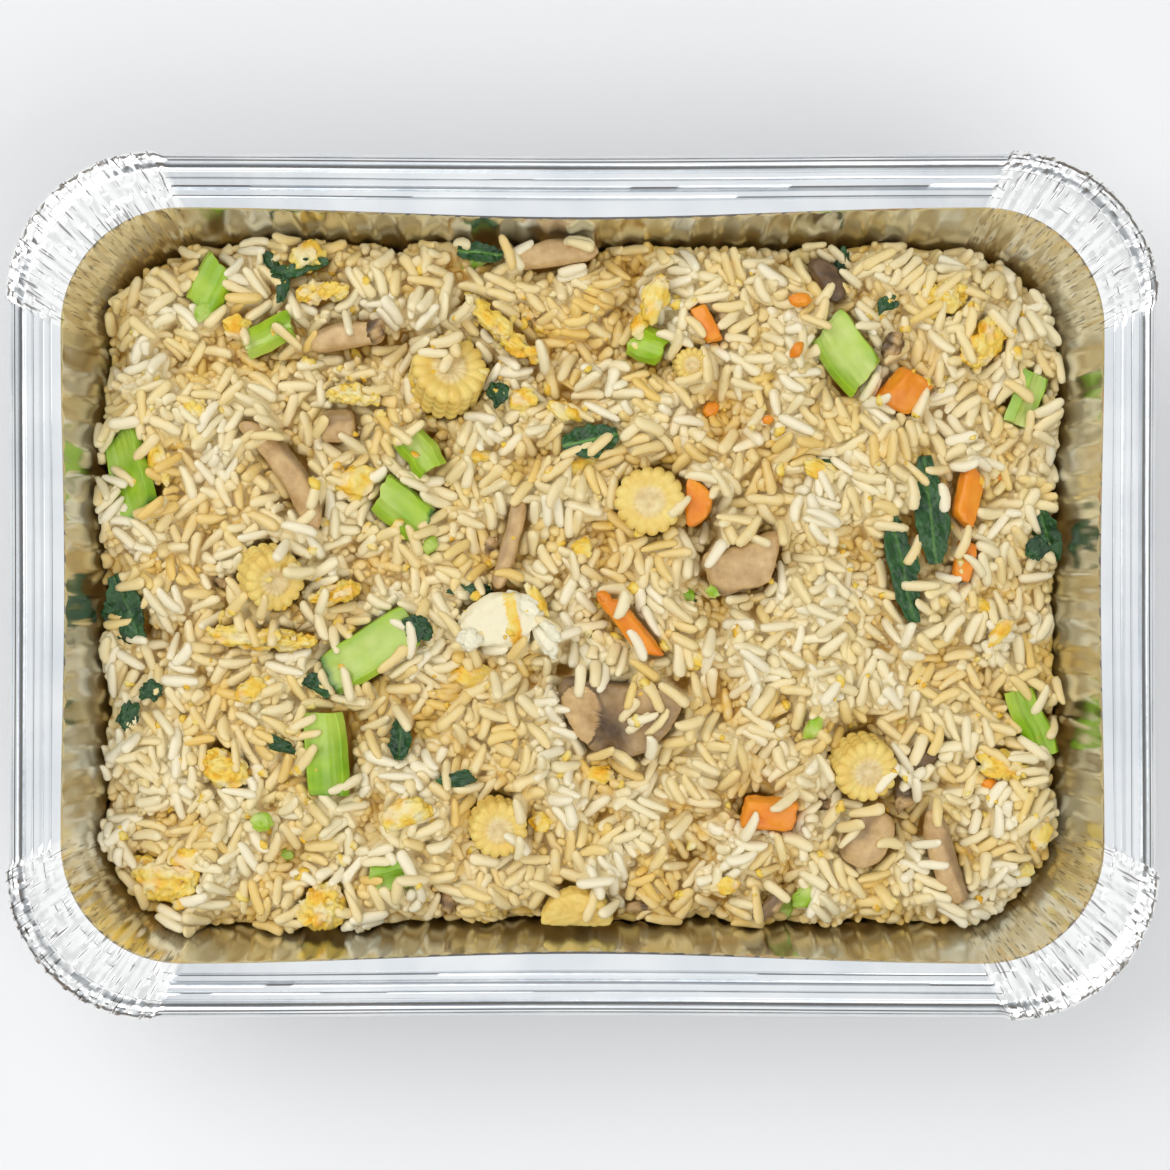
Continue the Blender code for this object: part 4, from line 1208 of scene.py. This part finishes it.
# each bit: column and row in the photograph, length, width, thickness, heading
bits = {
    "eggBits": (eggFinish, "egg", 0.5, [
        (300, 247, 7.5, 6, 3, 20), (655, 297, 11, 5.5, 3.5, 70), (570, 413, 6, 3, 2.4, -30),
        (524, 400, 6, 5, 3, 10), (357, 482, 9, 7, 4, 40), (702, 655, 7, 6, 3, 0),
        (158, 462, 12, 4, 2, -70), (1000, 632, 7, 3, 2.4, 50), (980, 605, 7, 3, 2.4, -30),
        (472, 675, 18, 6, 2.5, -12), (405, 815, 10, 6, 3.5, 30), (542, 822, 5, 4, 2.5, 0),
        (725, 884, 6, 4, 3, 10), (580, 465, 7, 4, 2.5, 20), (582, 548, 5, 4, 2.5, 60),
        (475, 455, 7, 3.5, 2.5, -10), (237, 327, 6, 5, 3, 0), (1047, 838, 8, 4, 3, 80),
        (1021, 873, 5, 4, 3, 30), (600, 775, 6, 4, 2.5, 10), (193, 410, 6, 5, 4, 0),
        (820, 470, 8, 4, 2.5, -20), (640, 326, 6, 4, 3, 60), (560, 412, 6, 3, 2.5, -40),
        (250, 690, 7, 5, 3, 20), (330, 880, 7, 5, 3, -30), (190, 860, 8, 5, 3, 0),
        (537, 601, 8, 3.2, 2.6, -62),
    ]),
    "eggWhiteBits": (eggFinish, "egg", 0.4, [
        (545, 640, 9, 3.6, 2.4, -60), (552, 632, 6, 3, 2.4, -50), (470, 640, 5, 5, 2, 20),
        (520, 605, 9, 5, 3, -20),
    ]),
    "greenBits": (leafFinish, "pak_choi_leaf", 0.7, [
        (118, 600, 8, 5, 1, 50), (152, 690, 5, 4, 1, 10), (280, 745, 6, 3, 1, -20),
        (130, 715, 6, 4, 1, 60), (825, 465, 5, 2.5, 1, 0), (858, 250, 10, 3, 1, 80),
        (887, 303, 5, 3, 1, 40), (455, 780, 8, 3, 1, 10), (497, 393, 6, 4, 1.2, 80),
        (418, 627, 6, 5, 1, -40), (318, 685, 6, 4, 1, -20), (690, 600, 4, 3, 1, 0),
        (470, 590, 8, 3, 1, 0), (700, 655, 3, 2, 1, 30), (120, 630, 9, 4, 1, -40),
        (270, 262, 8, 2.4, 1, -50), (283, 290, 6, 2.2, 1, 80), (1075, 545, 6, 4, 1, 60),
    ]),
    "stalkBits": (stalkFinish, "pak_choi_stalk", 0.3, [
        (262, 822, 5, 4, 2, 0), (810, 897, 8, 5, 2.4, 10), (814, 727, 6, 3.5, 2, 60),
        (285, 855, 4, 3, 2, 0), (715, 590, 4, 3, 2, 30), (788, 915, 6, 5, 4, 0), (205, 312, 5, 4, 2, 40),
        (475, 262, 6, 3, 2, 20), (688, 596, 3.5, 3, 2, 0), (430, 545, 4, 3, 2, 60),
    ]),
    "carrotBits": (carrotFinish, "carrot", 0.25, [
        (800, 300, 5, 3, 2.5, 0), (711, 409, 4, 3, 2, 30), (797, 350, 4, 2.5, 2, 60),
        (1000, 476, 4, 3, 2.5, 20), (990, 785, 4, 3, 2, 0), (768, 420, 2.5, 2, 1.5, 0),
        (605, 598, 4, 2.5, 2, -40),
    ]),
    "mushroomBits": (mushroomFinish, "mushroom", 0.5, [
        (893, 345, 6, 4, 2.5, 60), (437, 928, 6, 4, 3, 70), (828, 806, 7, 3, 2.5, -10),
        (645, 928, 6, 3, 2.4, 0), (222, 580, 4, 3, 2, 0), (376, 330, 5, 4, 3, 40),
        (905, 800, 6, 3, 2.5, 50), (490, 545, 4, 3, 2, 60),
    ]),
}

crumbs = {"count": 420, "size": (0.8, 3.4), "halfLength": 104, "halfWidth": 73, "nearEgg": 0.45, "reach": 9}


def addBit(bm, x, y, z, size, heading, seed, rough, detail):
    made = bmesh.ops.create_icosphere(bm, subdivisions=detail, radius=1)["verts"]
    cos, sin = math.cos(heading), math.sin(heading)
    length, width, height = (value / 2 for value in size)
    for vert in made:
        push = 1 + rough * (noise.fractal(vert.co * 1.1 + Vector((seed, 0, 0)), 1.0, 2.0, 4))
        crumple = 0.35 * rough * noise.noise(vert.co * 3.1 + Vector((0, seed, 0)))
        u, v, w = vert.co.x * length * push, vert.co.y * width * push, vert.co.z * height * (2 - push)
        sag = 0.12 * length * math.sin(seed + 2.4 * vert.co.x) + crumple * width
        vert.co = Vector((x + u * cos - v * sin, y + u * sin + v * cos, z + w + sag))


def buildBits():
    for name, (material, slotName, rough, spots) in bits.items():
        bm = bmesh.new()
        for seed, (column, row, length, width, height, heading) in enumerate(spots):
            spot = keptInside(Vector(photoPoint(heap, column, row)), 0.6 * length + 0.8)
            z = heap.at(heap.height, spot.x, spot.y)
            size = (length, width, height)
            addBit(bm, spot.x, spot.y, z + 0.1 * height, size, math.radians(heading), 3.7 * seed, rough, 4)
        finishBits(bm, name, material, slotName)
    bm = bmesh.new()
    eggSpots = [nodePose(node)[0] for node in nodesNamed("egg")]
    for seed in range(crumbs["count"]):
        x = draw.uniform(-crumbs["halfLength"], crumbs["halfLength"])
        y = draw.uniform(-crumbs["halfWidth"], crumbs["halfWidth"])
        if draw.random() < crumbs["nearEgg"]:
            middle = eggSpots[draw.integers(len(eggSpots))]
            x, y = middle[0] + draw.normal(0, crumbs["reach"]), middle[1] + draw.normal(0, crumbs["reach"])
        z = heap.at(heap.height, x, y)
        size = draw.uniform(*crumbs["size"])
        if insideTray(x, y, z) < 3 + size:
            continue
        addBit(bm, x, y, z - 0.15 * size, (size, 0.7 * size, 0.5 * size), draw.uniform(0, 6), seed, 0.7, 2)
    finishBits(bm, "eggCrumbs", eggFinish, "egg")


def finishBits(bm, name, material, slotName):
    piece = pieceFrom(bm, name, material)
    points = meshPoints(piece.data) / mm
    patches = wandering(points, 0.35)
    paint(piece.data, "white", np.clip(1.6 * patches, 0, 0.5) + (name == "eggWhiteBits"))
    paint(piece.data, "pale", np.clip(0.4 + patches, 0, 1))
    paint(piece.data, "skin", np.clip(0.5 + 2 * patches, 0, 1))
    finished(piece, slotName)


buildBits()
print("bits ready")


# floor, light and camera

def buildStage():
    bm = bmesh.new()
    bmesh.ops.create_grid(bm, x_segments=1, y_segments=1, size=3000)
    n = Finish("floor", 0.7)
    pale = n.ramp(n.noise(3, 2), (0.3, (0.93, 0.93, 0.93)), (0.7, (0.96, 0.96, 0.96)))
    pieceFrom(bm, "floor", n.done(pale))


lights = [
    ("overhead", (0, 0, 1.5), (0.6, 2.2), 1.2),
    ("farLeft", (-1.0, 0.8, 1.2), (1.6, 1.6), 14.5),
    ("nearRight", (0.9, -1.0, 1.2), (1.6, 1.6), 11),
]

# the room's light from the horizon up to straight overhead
sky = [
    (0.0, (0.15, 0.11, 0.07)), (0.35, (0.17, 0.16, 0.15)), (0.55, (0.28, 0.31, 0.34)),
    (0.72, (0.48, 0.50, 0.52)), (0.86, (0.82, 0.83, 0.84)), (0.95, (0.70, 0.71, 0.72)),
]


def buildLights():
    for name, place, size, power in lights:
        lamp = bpy.data.lights.new(name, "AREA")
        lamp.shape = "RECTANGLE"
        lamp.size, lamp.size_y = size
        lamp.energy = power
        holder = inScene(name, lamp)
        holder.location = place
        holder.rotation_euler = (-Vector(place)).to_track_quat("-Z", "Y").to_euler()
    world = bpy.data.worlds.new("studio")
    world.use_nodes = True
    tree = world.node_tree
    place = tree.nodes.new("ShaderNodeTexCoord")
    split = tree.nodes.new("ShaderNodeSeparateXYZ")
    ramp = tree.nodes.new("ShaderNodeValToRGB")
    setStops(ramp, sky)
    tree.links.new(place.outputs["Generated"], split.inputs[0])
    tree.links.new(split.outputs["Z"], ramp.inputs["Fac"])
    tree.links.new(ramp.outputs["Color"], tree.nodes["Background"].inputs["Color"])
    bpy.context.scene.world = world


def buildCamera():
    camera = bpy.data.cameras.new("fromAbove")
    width = photo["size"] * photo["scale"]
    camera.lens = camera.sensor_width * photo["eyeOverRim"] / width
    holder = inScene("fromAbove", camera)
    x = (photo["middle"][0] - photo["trayMiddle"][0]) * photo["scale"]
    y = (photo["trayMiddle"][1] - photo["middle"][1]) * photo["scale"]
    holder.location = (x * mm, y * mm, (tray["height"] + photo["eyeOverRim"]) * mm)
    bpy.context.scene.camera = holder


buildStage()
buildLights()
buildCamera()
bpy.context.scene.view_settings.view_transform = "Standard"
bpy.context.scene.cycles.max_bounces = 4
bpy.context.scene.cycles.diffuse_bounces = 2
bpy.context.scene.cycles.glossy_bounces = 3
print("stage ready")
